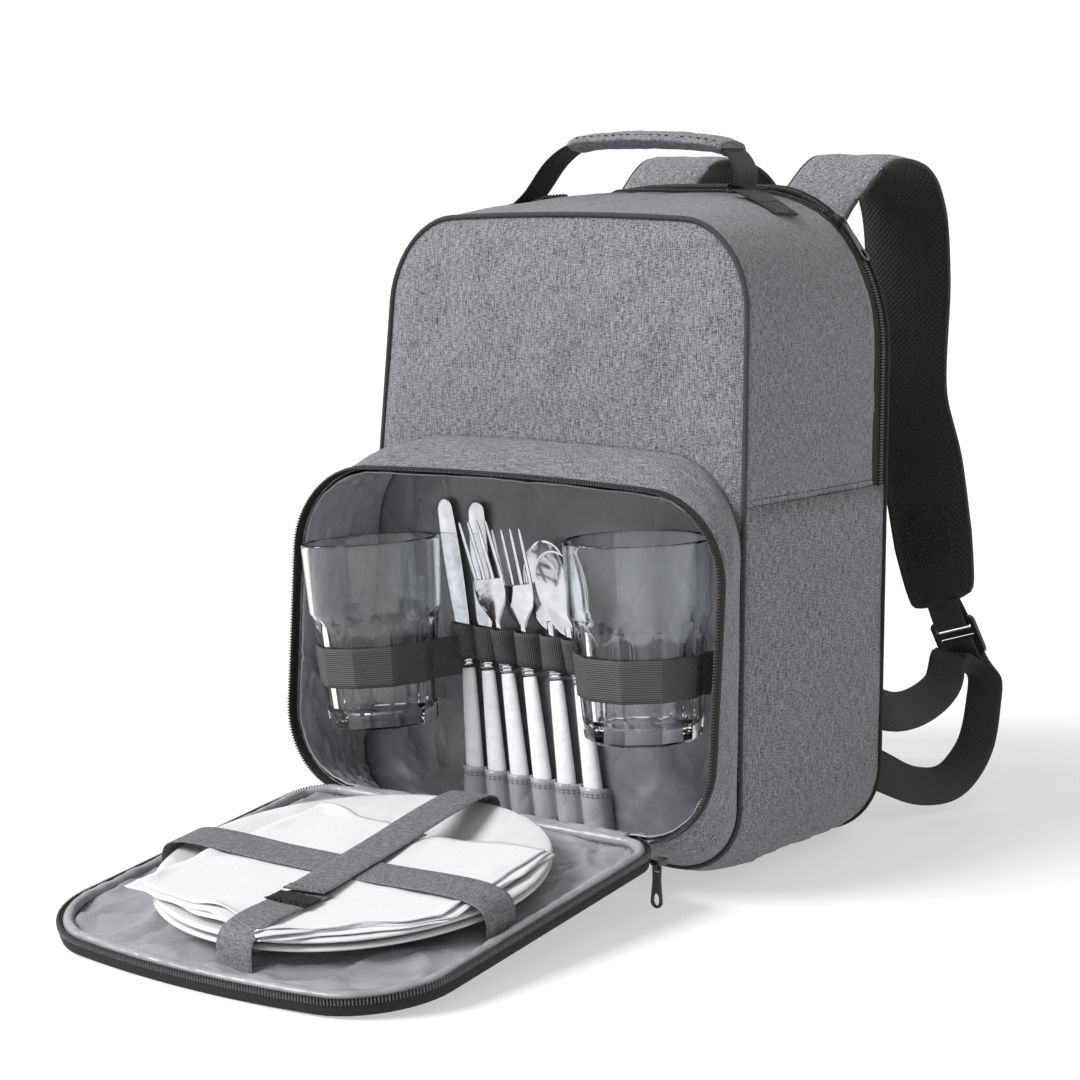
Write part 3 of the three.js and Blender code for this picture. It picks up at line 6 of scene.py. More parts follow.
import bmesh
import bpy
import numpy as np
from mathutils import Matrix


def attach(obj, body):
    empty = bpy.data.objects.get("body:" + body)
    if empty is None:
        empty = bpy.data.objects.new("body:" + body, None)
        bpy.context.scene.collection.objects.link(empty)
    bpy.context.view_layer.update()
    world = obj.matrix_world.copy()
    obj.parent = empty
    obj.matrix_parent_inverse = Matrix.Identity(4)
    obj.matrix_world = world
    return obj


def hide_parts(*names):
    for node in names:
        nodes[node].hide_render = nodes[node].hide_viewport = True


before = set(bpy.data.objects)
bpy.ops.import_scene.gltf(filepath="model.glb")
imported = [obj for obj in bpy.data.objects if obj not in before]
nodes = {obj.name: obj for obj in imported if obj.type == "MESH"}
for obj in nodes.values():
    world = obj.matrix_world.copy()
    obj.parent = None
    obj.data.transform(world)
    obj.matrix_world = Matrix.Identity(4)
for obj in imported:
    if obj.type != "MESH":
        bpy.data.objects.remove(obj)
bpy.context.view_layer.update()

# %% [markdown]
# The photograph was taken from the bag's front right, a little above its middle, with a long lens. A long
# lens keeps the sides almost parallel, so the camera stands well back.

# %% Camera
camera_azimuth, camera_elevation = 38.0, 8.0
camera_place = (0.8648, -1.1789, 0.3853)
camera_data = bpy.data.cameras.new("camera")
camera_data.lens = 80.0
camera_data.sensor_width = 36.0
camera = bpy.data.objects.new("camera", camera_data)
camera.location = camera_place
camera.rotation_euler = np.radians((90 - camera_elevation, 0, camera_azimuth))
bpy.context.scene.collection.objects.link(camera)
bpy.context.scene.camera = camera

# %% [markdown]
# Everything below is worked out in millimetres and written into the meshes in metres. These few functions
# are the maker's hand tools: blends, directions along a run of points, a smooth curve through chosen
# points, and waves that stand for creases.

# %% Number tools
MM = 0.001


def lerp(a, b, t):
    """The point a share t of the way from a to b."""
    return a + (b - a) * t


def step(x, low, high):
    """Rises softly from 0 at low to 1 at high: 3 t squared less 2 t cubed."""
    t = np.clip((x - low) / (high - low), 0, 1)
    return t * t * (3 - 2 * t)


def unit(v):
    """v divided by its own length."""
    return v / np.maximum(np.linalg.norm(v, axis=-1, keepdims=True), 1e-9)


def tangents(path, closed=False):
    """The direction from each point's neighbour before it to the one after it."""
    if closed:
        return unit(np.roll(path, -1, 0) - np.roll(path, 1, 0))
    return unit(np.gradient(path, axis=0))


def smooth_path(chosen, per=8):
    """A centripetal Catmull-Rom curve: each stretch is a cubic whose end slopes come from its neighbours,
    weighed by the square roots of the distances. per points go in each stretch."""
    p = np.asarray(chosen, float)
    p = np.vstack([2 * p[0] - p[1], p, 2 * p[-1] - p[-2]])
    p0, p1, p2, p3 = p[:-3], p[1:-2], p[2:-1], p[3:]
    pairs = ((p0, p1), (p1, p2), (p2, p3))
    d0, d1, d2 = (np.sqrt(np.linalg.norm(b - a, axis=1, keepdims=True)) for a, b in pairs)
    m1 = ((p1 - p0) / d0 - (p2 - p0) / (d0 + d1) + (p2 - p1) / d1) * d1
    m2 = ((p2 - p1) / d1 - (p3 - p1) / (d1 + d2) + (p3 - p2) / d2) * d1
    t = (np.arange(per) / per)[:, None, None]
    run = (2 * t**3 - 3 * t**2 + 1) * p1 + (t**3 - 2 * t**2 + t) * m1
    run = run + (3 * t**2 - 2 * t**3) * p2 + (t**3 - t**2) * m2
    return np.vstack([run.transpose(1, 0, 2).reshape(-1, 3), p[-2]])


def per_row(values, per=8):
    """A table's column, filled in evenly between its rows, one value for each point of smooth_path."""
    values = np.asarray(values, float)
    places = np.linspace(0, len(values) - 1, per * (len(values) - 1) + 1)
    columns = np.atleast_2d(values.T)
    return np.stack([np.interp(places, np.arange(len(values)), column) for column in columns], -1)


def evenly(path, spacing, closed=False):
    """Points at an even spacing along a run, with the direction at each."""
    run = np.vstack([path, path[:1]]) if closed else path
    length = np.concatenate([[0], np.cumsum(np.linalg.norm(np.diff(run, axis=0), axis=1))])
    count = max(int(length[-1] / spacing), 2)
    at = np.linspace(0, length[-1], count, endpoint=not closed)
    points = np.stack([np.interp(at, length, run[:, k]) for k in range(3)], 1)
    ways = np.stack([np.interp(at, length, column) for column in tangents(run).T], 1)
    return points, unit(ways)


def ripples(a, b, size, seed, count=9):
    """A sum of sine waves about size long, each in its own seeded direction, from about -1 to 1."""
    random = np.random.default_rng(seed)
    turn, phase = random.uniform(0, 2 * np.pi, (2, count))
    length = size * random.uniform(0.6, 1.7, count)
    place = a[..., None] * np.cos(turn) + b[..., None] * np.sin(turn)
    return np.sin(2 * np.pi * place / length + phase).mean(-1) * 2.2


def creases(a, b, size, seed):
    """Sharp ridges with soft hollows between them, from 0 to 1: one less the size of the ripples."""
    return np.clip(1 - 1.6 * np.abs(ripples(a, b, size, seed, 5)), 0, 1) ** 1.5


# %% [markdown]
# Nearly every piece is one surface: a grid of points that depends on two parameters. A grid can close on
# itself across (a tube), and its ends can be closed by a middle point. Each face carries its place in the
# cloth, in metres, as its UV, so that weave and streaks follow the cloth round every bend.

# %% Surface tools
def linked(name, data):
    """A new object in the scene that shows a mesh or a lamp."""
    made = bpy.data.objects.new(name, data)
    bpy.context.scene.collection.objects.link(made)
    return made


def cloth_uv(points, ring):
    """Distance across and along the grid, in millimetres, each taken as the mean over the whole grid."""
    wide = np.concatenate([points, points[:, :1]], 1) if ring else points
    across = np.linalg.norm(np.diff(wide, axis=1), axis=-1).mean(0)
    along = np.linalg.norm(np.diff(points, axis=0), axis=-1).mean(1)
    u = np.concatenate([[0], np.cumsum(across)])
    v = np.concatenate([[0], np.cumsum(along)])
    return np.stack(np.broadcast_arrays(u[None, :], v[:, None]), -1)


def surface(name, points, uv=None, ring=False, caps=None, inside=None, which=None):
    """Quads between neighbouring points of a grid (rows, columns, 3). ring joins the last column to the
    first, caps are two middle points that close the first and last row, and inside is a point that the
    faces look away from; without it the mesh is closed and its volume tells. which gives each quad's
    material."""
    rows, columns = points.shape[:2]
    uv = cloth_uv(points, ring) if uv is None else uv
    i, j = (a.ravel() for a in np.meshgrid(np.arange(rows - 1), np.arange(columns - 1 + ring), indexing="ij"))
    corners = ((0, 0), (1, 0), (1, 1), (0, 1))
    faces = np.stack([(i + a) * columns + (j + b) % columns for a, b in corners], 1).tolist()
    face_uv = np.stack([uv[i + a, j + b] for a, b in corners], 1).tolist()
    vertices = points.reshape(-1, 3)
    for row, pole in zip((0, rows - 1), () if caps is None else caps):
        j = np.arange(columns)
        at = len(vertices)
        vertices = np.vstack([vertices, pole])
        first, second = row * columns + j, row * columns + (j + 1) % columns
        pair = [(first, uv[row, j]), (second, uv[row, (j + 1) % uv.shape[1]])]
        (first, first_uv), (second, second_uv) = pair[::-1] if row else pair
        faces += np.stack([first, second, np.full(columns, at)], 1).tolist()
        middle = np.tile(uv[row, :columns].mean(0), (columns, 1))
        face_uv += np.stack([first_uv, second_uv, middle], 1).tolist()
    mesh = bpy.data.meshes.new(name)
    mesh.from_pydata((vertices * MM).tolist(), [], faces)
    layer = mesh.uv_layers.new(name="cloth")
    layer.data.foreach_set("uv", (np.concatenate([np.ravel(f) for f in face_uv]) * MM).astype(np.float32))
    if which is not None:
        mesh.polygons.foreach_set("material_index", np.resize(which.ravel(), len(faces)).astype(np.int32))
    centres, normals, areas = np.empty(len(faces) * 3), np.empty(len(faces) * 3), np.empty(len(faces))
    mesh.polygons.foreach_get("center", centres)
    mesh.polygons.foreach_get("normal", normals)
    mesh.polygons.foreach_get("area", areas)
    centre = np.zeros(3) if inside is None else np.asarray(inside, float) * MM
    facing = ((centres.reshape(-1, 3) - centre) * normals.reshape(-1, 3)).sum(1) @ areas
    if facing < 0:
        mesh.flip_normals()
    mesh.polygons.foreach_set("use_smooth", np.ones(len(faces), bool))
    return linked(name, mesh)


def dress(piece, slot, materials, *replaced, body="bag", crisp=None):
    """Gives a piece its materials and its body, and hides the imported nodes that it stands for; the slot is
    not used.
    """
    for material in materials if isinstance(materials, (list, tuple)) else [materials]:
        piece.data.materials.append(material)
    if crisp:
        piece.data.set_sharp_from_angle(angle=np.radians(crisp))
    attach(piece, body)
    if replaced:
        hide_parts(*replaced)
    return piece


def thicken(piece, thickness):
    """A wall of that many millimetres, grown inwards from the surface."""
    wall = piece.modifiers.new("wall", "SOLIDIFY")
    wall.thickness = thickness * MM
    wall.offset = -1
    return piece


def section(width, thickness, count=9):
    """The outline of a flat strap: a flat face, a rounded edge, the other face and the other edge, with
    the distance across the strap for each point."""
    x = np.linspace(-1, 1, count) * (width - thickness) / 2
    half = np.full(count, thickness / 2)
    edge = width / 2
    side = np.concatenate([x, [edge], x[::-1], [-edge]])
    return side, np.concatenate([half, [0], -half, [0]])


def strap(name, path, across, width, thickness):
    """A flat strap: its section is carried along the path with its width in the direction across."""
    along = tangents(path)
    sideways = unit(across - along * (across * along).sum(1, keepdims=True))
    normal = np.cross(along, sideways)
    side, rise = section(width, thickness)
    points = path[:, None] + sideways[:, None] * side[:, None] + normal[:, None] * rise[:, None]
    length = np.concatenate([[0], np.cumsum(np.linalg.norm(np.diff(path, axis=0), axis=1))])
    u = np.concatenate([side, side[:1]])
    uv = np.stack(np.broadcast_arrays(u[None, :], length[:, None]), -1)
    return surface(name, points, uv, ring=True, caps=(path[0], path[-1]))


def tube(name, path, up, radius, sides=12, closed=False):
    """A round cord: a circle carried along the path. up is any direction that is never along the path."""
    along = tangents(path, closed)
    sideways = unit(np.cross(along, up))
    normal = np.cross(sideways, along)
    turn = 2 * np.pi * np.arange(sides) / sides
    radius = np.broadcast_to(radius, len(path))[:, None, None]
    ring = sideways[:, None] * np.cos(turn)[:, None] + normal[:, None] * np.sin(turn)[:, None]
    points = path[:, None] + ring * radius
    if closed:
        return surface(name, np.concatenate([points, points[:1]]), ring=True)
    return surface(name, points, ring=True, caps=(path[0], path[-1]))


def weld(piece):
    """Joins points that lie on each other, such as a closed cord's first and last ring."""
    joined = piece.modifiers.new("weld", "WELD")
    joined.merge_threshold = 0.01 * MM
    return piece


def repeated(name, shape, centres, x, y, z, size):
    """One small shape set down at many places: its corners times size along the three directions of each
    place."""
    vertices, faces = shape
    axes = np.stack([np.broadcast_to(a, centres.shape) for a in (x, y, z)], 1)
    points = centres[:, None] + np.einsum("vk,nkc->nvc", vertices * np.asarray(size), axes)
    starts = np.arange(len(centres)) * len(vertices)
    mesh = bpy.data.meshes.new(name)
    listed = [(np.asarray(face)[None] + starts[:, None]).tolist() for face in faces]
    mesh.from_pydata((points.reshape(-1, 3) * MM).tolist(), [], sum(listed, []))
    if np.linalg.det(axes[0]) < 0:
        mesh.flip_normals()
    return linked(name, mesh)


def bead(rings=((-0.7, 0.8), (0.7, 0.8)), sides=6):
    """A small closed shape along X: a few rings of corners between two end points."""
    turn = 2 * np.pi * np.arange(sides) / sides
    rows = [np.stack([np.full(sides, x), r * np.cos(turn), r * np.sin(turn)], 1) for x, r in rings]
    vertices = np.vstack([*rows, [[-1, 0, 0], [1, 0, 0]]])
    count = len(rings)
    faces = []
    for k in range(sides):
        n = (k + 1) % sides
        last = (count - 1) * sides
        for i in range(0, last, sides):
            faces.append((i + n, i + sides + n, i + sides + k, i + k))
        faces += [(k, n, count * sides), (last + n, last + k, count * sides + 1)]
    return vertices, faces


thread_shape = bead(sides=4)


def stitches(name, path, normal, length=3.2, gap=1.3, thick=0.55, closed=False):
    """A row of thread beads, each as long as one stitch, along a run of points."""
    centres, ways = evenly(path, length + gap, closed)
    up = unit(np.broadcast_to(normal, centres.shape))
    sideways = unit(np.cross(up, ways))
    size = (length / 2, thick, thick)
    return repeated(name, thread_shape, centres, ways, sideways, np.cross(ways, sideways), size)


# %% [markdown]
# A finish starts from what the real material is. One function adds a node; everything that is the same all
# over a surface is set on the shader itself, and only what varies is linked.

# %% Material tools
def colour(code):
    """An sRGB hex value as linear red, green, blue and full opacity."""
    part = np.array([int(code[k : k + 2], 16) for k in (0, 2, 4)]) / 255
    return (*np.where(part <= 0.04045, part / 12.92, ((part + 0.055) / 1.055) ** 2.4).tolist(), 1.0)


def node(tree, kind, links=(), **settings):
    """Adds one node with its settings. links pairs its sockets with values or with other nodes'
    sockets."""
    made = tree.nodes.new("ShaderNode" + kind)
    for key, value in settings.items():
        setattr(made, key, value)
    for socket, value in dict(links).items():
        if isinstance(value, bpy.types.NodeSocket):
            tree.links.new(value, made.inputs[socket])
        else:
            made.inputs[socket].default_value = value
    return made


def material(name, **sockets):
    """A new material whose shader sockets are set by name, with underscores for spaces."""
    made = bpy.data.materials.new(name)
    made.use_nodes = True
    shader = made.node_tree.nodes["Principled BSDF"]
    for socket, value in sockets.items():
        shader.inputs[socket.replace("_", " ")].default_value = value
    return made, made.node_tree, shader


def place_of(tree, size, source="UV", turn=0.0):
    """The place on the cloth (or in the object) counted in steps of size millimetres each way."""
    start = node(tree, "UVMap") if source == "UV" else node(tree, "TexCoord")
    scale = tuple(1 / (s * MM) for s in (*size, size[-1])[:3])
    links = {"Vector": start.outputs[source], "Scale": scale, "Rotation": (0, 0, turn)}
    return node(tree, "Mapping", links).outputs[0]


def blend_of(tree, parts):
    """The weighed sum of several noises: each part is an output and its weight."""
    total = 0.0
    for output, weight in parts:
        total = node(tree, "Math", {0: output, 1: weight, 2: total}, operation="MULTIPLY_ADD").outputs[0]
    return total


def ramp(tree, value, dark, light, low=0.3, high=0.7):
    """Colours between dark and light as the value goes from low to high."""
    made = node(tree, "ValToRGB", {"Fac": value})
    made.color_ramp.elements[0].position, made.color_ramp.elements[1].position = low, high
    made.color_ramp.elements[0].color, made.color_ramp.elements[1].color = colour(dark), colour(light)
    return made.outputs[0]


def relief(tree, shader, height, depth):
    """Bumps of that many millimetres from a height between 0 and 1."""
    bump = node(tree, "Bump", {"Height": height, "Distance": depth * MM, "Strength": 1.0})
    tree.links.new(bump.outputs[0], shader.inputs["Normal"])


def noise(tree, place, detail=2.0, rough=0.5):
    """Soft noise, one blot a step."""
    links = {"Vector": place, "Scale": 1.0, "Detail": detail, "Roughness": rough}
    return node(tree, "TexNoise", links).outputs[0]


def wave(tree, place, direction="X", bend=0.0, profile="SIN"):
    """Straight ridges, one every step. Blender's bands repeat every 2 pi / 20 of a unit, so the scale
    undoes it."""
    links = {"Vector": place, "Scale": np.pi / 10, "Distortion": bend, "Detail": 1.0}
    return node(tree, "TexWave", links, bands_direction=direction, wave_profile=profile).outputs[1]


# %% [markdown]
# The shell is 600 denier polyester: warp threads spun from dark and light fibres, so the cloth shows short
# upright slubs crossed by fainter ones, like pencil strokes. A real thread is 0.45 mm wide, too fine for
# the picture, so the slubs are drawn 0.6 mm wide and the weave 1 mm.

# %% Woven finishes
def woven(name, dark, light, slub=(0.6, 5.2), weft=(4.1, 0.6), thread=1.0, depth=0.07, **sockets):
    """Cloth with slubs along it, weaker ones across it, specks of single threads, and a bump for the
    weave."""
    made, tree, shader = material(name, Roughness=0.92, **sockets)
    warp = noise(tree, place_of(tree, slub), 2.0, 0.6)
    cross = noise(tree, place_of(tree, weft), 2.0, 0.6)
    speck = noise(tree, place_of(tree, (thread * 0.7, thread * 0.9)))
    long = noise(tree, place_of(tree, (slub[0] * 1.3, slub[1] * 2.7), turn=0.04), 2.0, 0.6)
    mix = blend_of(tree, [(warp, 0.27), (long, 0.16), (cross, 0.27), (speck, 0.3)])
    tree.links.new(ramp(tree, mix, dark, light, 0.42, 0.58), shader.inputs["Base Color"])
    over = wave(tree, place_of(tree, (thread, thread)), "X")
    under = wave(tree, place_of(tree, (thread, thread)), "Y")
    height = blend_of(tree, [(mix, 0.5), (over, 0.25), (under, 0.25)])
    relief(tree, shader, height, depth)
    return made


heather = woven("heather_polyester", "28292b", "97989d", Sheen_Weight=0.1)
heather_elastic = woven("ribbed_melange_elastic", "48494c", "85868a", (0.5, 3), (6, 1.2), 1.2, 0.2)
piping_cloth = woven("cord_piping_polyester", "242527", "3f4043", (0.6, 2), (2, 0.6), 0.8, 0.1)
tape_cloth = woven("zip_tape_polyester", "0c0c0d", "1c1c1d", (0.6, 3), (3, 0.6), 0.9, 0.12)
cotton = woven("washed_cotton", "dadadd", "e8e8eb", (0.6, 3), (3, 0.6), 0.7, 0.07, Sheen_Weight=0.1)

# %% [markdown]
# Webbing and elastic are woven in ridges. Black polypropylene webbing shows slanting ribs; the dark
# elastic in the pocket has fine cords running along it every 1.2 mm. Air mesh is a knit with a hole every
# 3 mm.

# %% Ridged finishes
def ridged(name, dark, light, pitch, turn, depth, rough):
    """Ridges at an angle to the strap, with painted shade: the colour is darker in the grooves between them,
    mixed with specks of the yarn's own tone.
    """
    made, tree, shader = material(name, Roughness=rough)
    ridge = wave(tree, place_of(tree, (pitch, pitch), turn=turn), "X", 0.4)
    speck = noise(tree, place_of(tree, (0.7, 1.6)))
    mix = blend_of(tree, [(ridge, 0.6), (speck, 0.4)])
    # The colour mixes fine specks, the yarn's own tone, with the ridge wave, which is painted shade that
    # darkens the grooves.
    tree.links.new(ramp(tree, mix, dark, light, 0.2, 0.8), shader.inputs["Base Color"])
    relief(tree, shader, ridge, depth)
    return made


webbing_black = ridged("polypropylene_webbing", "0b0b0c", "232324", 1.7, 0.9, 0.35, 0.62)
elastic_dark = ridged("corded_elastic", "26272a", "56575a", 1.25, 0.0, 0.3, 0.7)
hook_black = ridged("hook_tape_nylon", "0a0a0a", "2c2c2d", 1.0, 0.6, 0.8, 0.7)


def air_mesh():
    """Warp-knitted polyester spacer mesh: rows of holes, deeper in the middle of each cell, where the colour
    is darker as painted shade.
    """
    made, tree, shader = material("spacer_air_mesh", Roughness=0.85, Sheen_Weight=0.05)
    place = place_of(tree, (2.7, 2.7), turn=np.pi / 4)
    cell = node(tree, "TexVoronoi", {"Vector": place, "Scale": 1.0, "Randomness": 0.1})
    # Painted shade: the colour darkens towards the middle of each cell, in the hole.
    tree.links.new(ramp(tree, cell.outputs[0], "020202", "161718", 0.28, 0.5), shader.inputs["Base Color"])
    relief(tree, shader, ramp(tree, cell.outputs[0], "000000", "ffffff", 0.2, 0.55), 0.9)
    return made


mesh_black = air_mesh()

# %% [markdown]
# The pocket is lined with grey PEVA film, a soft plastic that wipes clean. It shines like satin and holds
# every crease. The big creases are in the mesh; a noise adds the small ones and the faint grain.

# %% Film, plastic, metal and glass
def film(name, dark, light, depth):
    """Satin film: sharp folds 24 mm apart where a noise crosses its middle, fine grain, and patches of
    shine."""
    made, tree, shader = material(name, Specular_IOR_Level=0.6)
    soft = noise(tree, place_of(tree, (24, 40), "Object"), 1.2, 0.4)
    middle = node(tree, "Math", {0: soft, 1: 0.5}, operation="SUBTRACT").outputs[0]
    fold = node(tree, "Math", {0: middle}, operation="ABSOLUTE").outputs[0]
    crumple = node(tree, "Math", {0: fold, 1: 3.0}, operation="MULTIPLY").outputs[0]
    grain = noise(tree, place_of(tree, (1.5, 1.5), "Object"))
    cloud = noise(tree, place_of(tree, (60, 80), "Object"))
    tree.links.new(ramp(tree, cloud, dark, light), shader.inputs["Base Color"])
    shine = node(tree, "MapRange", {"Value": crumple, "To Min": 0.26, "To Max": 0.42}).outputs[0]
    tree.links.new(shine, shader.inputs["Roughness"])
    relief(tree, shader, blend_of(tree, [(crumple, 0.95), (grain, 0.05)]), depth)
    return made


lining_film = film("peva_lining_film", "8b8c90", "a6a7ab", 1.9)
# The back wall's copy of the same film is darker: painted shade, for the back of the pocket lies in the
# shadow of its top and sides.
lining_back = film("peva_lining_film_painted_shade", "56575b", "6c6d71", 1.5)


def speckled(name, dark, light, size, depth, low, high, **sockets):
    """A hard surface whose gloss varies a little, as handling leaves it."""
    made, tree, shader = material(name, **sockets)
    fine = noise(tree, place_of(tree, (size, size), "Object"), 3.0)
    tree.links.new(ramp(tree, fine, dark, light), shader.inputs["Base Color"])
    gloss = node(tree, "MapRange", {"Value": fine, "To Min": low, "To Max": high}).outputs[0]
    tree.links.new(gloss, shader.inputs["Roughness"])
    relief(tree, shader, fine, depth)
    return made


coil_black = speckled("nylon_zip_coil", "303134", "5a5b5e", 0.8, 0.02, 0.3, 0.45)
enamel_black = speckled("black_enamelled_zinc", "141415", "202022", 3.0, 0.01, 0.25, 0.4, Coat_Weight=0.3)
acetal_black = speckled("moulded_acetal", "101011", "19191a", 1.0, 0.03, 0.4, 0.55)
thread_grey = speckled("sewing_thread_grey", "4a4b4d", "6c6d70", 0.5, 0.05, 0.7, 0.85)
thread_black = speckled("sewing_thread_black", "0d0d0e", "1f1f20", 0.5, 0.05, 0.6, 0.8)
steel = speckled("polished_stainless_steel", "c9cacd", "dcdde0", 6.0, 0.004, 0.06, 0.14, Metallic=1.0)
handle_white = speckled("moulded_white_abs", "eeeef1", "f7f7f9", 9.0, 0.01, 0.22, 0.34, Coat_Weight=0.15)
melamine = speckled("white_melamine", "dcdcde", "e6e6e8", 14.0, 0.01, 0.16, 0.26, Coat_Weight=0.4)
acrylic = speckled(
    "clear_acrylic", "f6f8f9", "fdfeff", 20.0, 0.006, 0.01, 0.04, Transmission_Weight=1.0, IOR=1.45
)
print("materials", len(bpy.data.materials))

# %% [markdown]
# The body is a loft between two rounded outlines: a lower one at the front and a taller one at the back.
# The bag leans back by four degrees, and the front edge of its base curls up from the floor.

# %% The body's outline
body_depth, half_width, top_half_width = 155.0, 146.5, 131.0
front_height, rear_height, side_seam = 380.0, 396.0, 216.0
base_radius, front_radius, rear_radius, top_crown = 45.0, 50.0, 95.0, 6.0
lean = np.tan(np.radians(4.0))
front_lift, lift_share = 7.0, 0.25
front = -body_depth / 2
corner_steps = 12
outline_count = 12 * corner_steps
seam_index = 3 * corner_steps
clearance = 0.3


def rounded_outline(half_bottom, half_top, bottom, top, low_radius, top_radius, crown, seam=None, inset=0.0):
    """A rounded rectangle that narrows upwards and has a crowned top, as columns x and z. It starts at the
    middle of the bottom and goes round by the right, with as many points on each line and corner."""
    low, high = bottom + inset, top - inset - crown
    half, r0, r1 = half_bottom - inset, low_radius - inset, top_radius - inset
    middle = (low + r0 + high - r1) / 2 if seam is None else seam
    turn = np.linspace(0, np.pi / 2, corner_steps + 1)[:, None]

    def corner(x, z, radius, start):
        return np.array([[x, z]]) + radius * np.hstack([np.cos(start + turn), np.sin(start + turn)])

    def line(a, b):
        return np.linspace(a, b, corner_steps + 1)[1:-1]

    right = np.vstack([
        [(0, low)], line((0, low), (half - r0, low)), corner(half - r0, low + r0, r0, -np.pi / 2),
        line((half, low + r0), (half, middle)), [(half, middle)], line((half, middle), (half, high - r1)),
        corner(half - r1, high - r1, r1, 0), line((half - r1, high), (0, high)), [(0, high)],
    ])
    whole = np.vstack([right, right[-2:0:-1] * (-1, 1)])
    rise = (whole[:, 1] - low) / (high - low)
    x = whole[:, 0] * lerp(1, half_top / half_bottom, rise)
    return x, whole[:, 1] + crown * rise**3 * (1 - (x / half) ** 2)


front_shape = (half_width, top_half_width, 0, front_height, base_radius, front_radius, top_crown, side_seam)
rear_shape = (half_width, top_half_width, 0, rear_height, base_radius, rear_radius, top_crown, side_seam)


def in_body(x, depth, z):
    """The row frame's point at a depth behind the leaning front plane."""
    return np.stack(np.broadcast_arrays(x, front + depth + lean * z, z), -1)


def wall_point(depth, inset=0.0, index=None):
    """Points of the body's wall: front and rear outline blended by the share of the depth."""
    index = np.arange(outline_count) if index is None else index
    (x0, z0), (x1, z1) = (rounded_outline(*shape, inset=inset) for shape in (front_shape, rear_shape))
    share = np.clip(depth / body_depth, 0, 1)
    pick = index if np.ndim(depth) < 2 else index[:, None]
    x, z = lerp(x0[pick], x1[pick], share), lerp(z0[pick], z1[pick], share)
    curl = front_lift * np.maximum(0, 1 - share / lift_share) ** 2
    return in_body(x, depth, z + curl * np.maximum(0, 1 - z / (1.5 * base_radius)))


def ring_normals(loop):
    """The outward direction in X and Z at each point of a loop that goes round by the right."""
    along = tangents(loop, closed=True)
    return unit(np.stack([along[..., 2], 0 * along[..., 0], -along[..., 0]], -1))


middle_of_bag = (0, 0, 180)
print("outline points", outline_count, "top of the rear", wall_point(body_depth)[:, 2].max())

# %% [markdown]
# The front panel is padded cloth sewn into a piping cord. Padding pulls down at a seam, so the panel rolls
# back over its last centimetre; a few soft buckles run down from the top. Behind the pocket it lies flat.

# %% Front panel and piping
piping_radius, panel_bulge, arch_top = 1.5, 5.0, 248.0


def sheet_of_rings(name, points, x, z, centre, inside):
    """An open sheet: rings that shrink to a middle point, with their flat place as UV. It is made with
    both its ends closed, and the faces over its rim, the last in the list, are taken off again."""
    uv = np.stack([x, z], -1)
    made = surface(name, points, np.concatenate([uv, uv[:, :1]], 1), True, (centre, centre), inside)
    work = bmesh.new()
    work.from_mesh(made.data)
    work.faces.ensure_lookup_table()
    bmesh.ops.delete(work, geom=work.faces[-outline_count:], context="FACES")
    work.to_mesh(made.data)
    work.free()
    return made


def front_panel():
    """Rings that shrink from the rim to the middle; the depth of each point is minus the bulge."""
    rim = wall_point(0.0, 2 * piping_radius + 0.2)
    share = np.concatenate([np.linspace(0.03, 0.9, 34), np.linspace(0.92, 1, 9)])[:, None]
    x = share * rim[:, 0]
    z = lerp(rim[:, 2].mean(), rim[:, 2], share)
    above = step(z, arch_top + 8, arch_top + 50)
    level = np.clip((z - arch_top - 10) / (front_height - arch_top - 10), 0, 1)
    bulge = panel_bulge * np.clip(1 - (x / top_half_width) ** 2, 0, 1) * np.sin(np.pi * level)
    buckle = 1.7 * ripples(x * 1.4, z * 0.55, 50, 3) + 0.6 * ripples(x, z, 24, 4)
    slant = np.exp(-(((x - 70) * 0.8 + (z - 292) * 0.6) / 7) ** 2) * np.exp(-(((z - 300) / 26) ** 2))
    roll = 2.0 * step(share, 0.93, 1.0)
    loose = above * (buckle + 1.6 * slant) * step(1 - share, 0, 0.12)
    points = in_body(x, roll - bulge - loose - 0.6 * (1 - above), z)
    centre = in_body(0.0, -0.6, rim[:, 2].mean())
    return sheet_of_rings("panel_front", points, x, z, centre, middle_of_bag)


panel = thicken(front_panel(), 2.4)
dress(panel, "heather_fabric", heather, "front_panel")
cord_line = wall_point(piping_radius, piping_radius + 0.1)
piping = weld(tube("piping_front", cord_line, (0, 1, 0), piping_radius, 12, closed=True))
dress(piping, "piping", piping_cloth, "front_piping")
print("front panel and piping", len(panel.data.polygons), len(piping.data.polygons))

# %% [markdown]
# The wall is one long strip round the body, sewn across at each side and split by the zip over the top. It
# is padded too: a little fuller in the middle, drawn in at both seams, and rucked where it turns the lower
# corners.

# %% Side walls
panel_thickness, wall_thickness = 3.2, 4.0
zip_tape_width, zip_gap_width, zip_gap_centre, zip_gap_half = 7.7, 26.0, 10.0, 85.0
wall_start = panel_thickness + clearance
teeth_depth = body_depth - zip_tape_width - clearance
over_top = np.arange(seam_index, outline_count - seam_index + 1)
under_base = np.arange(-seam_index, seam_index + 1) % outline_count


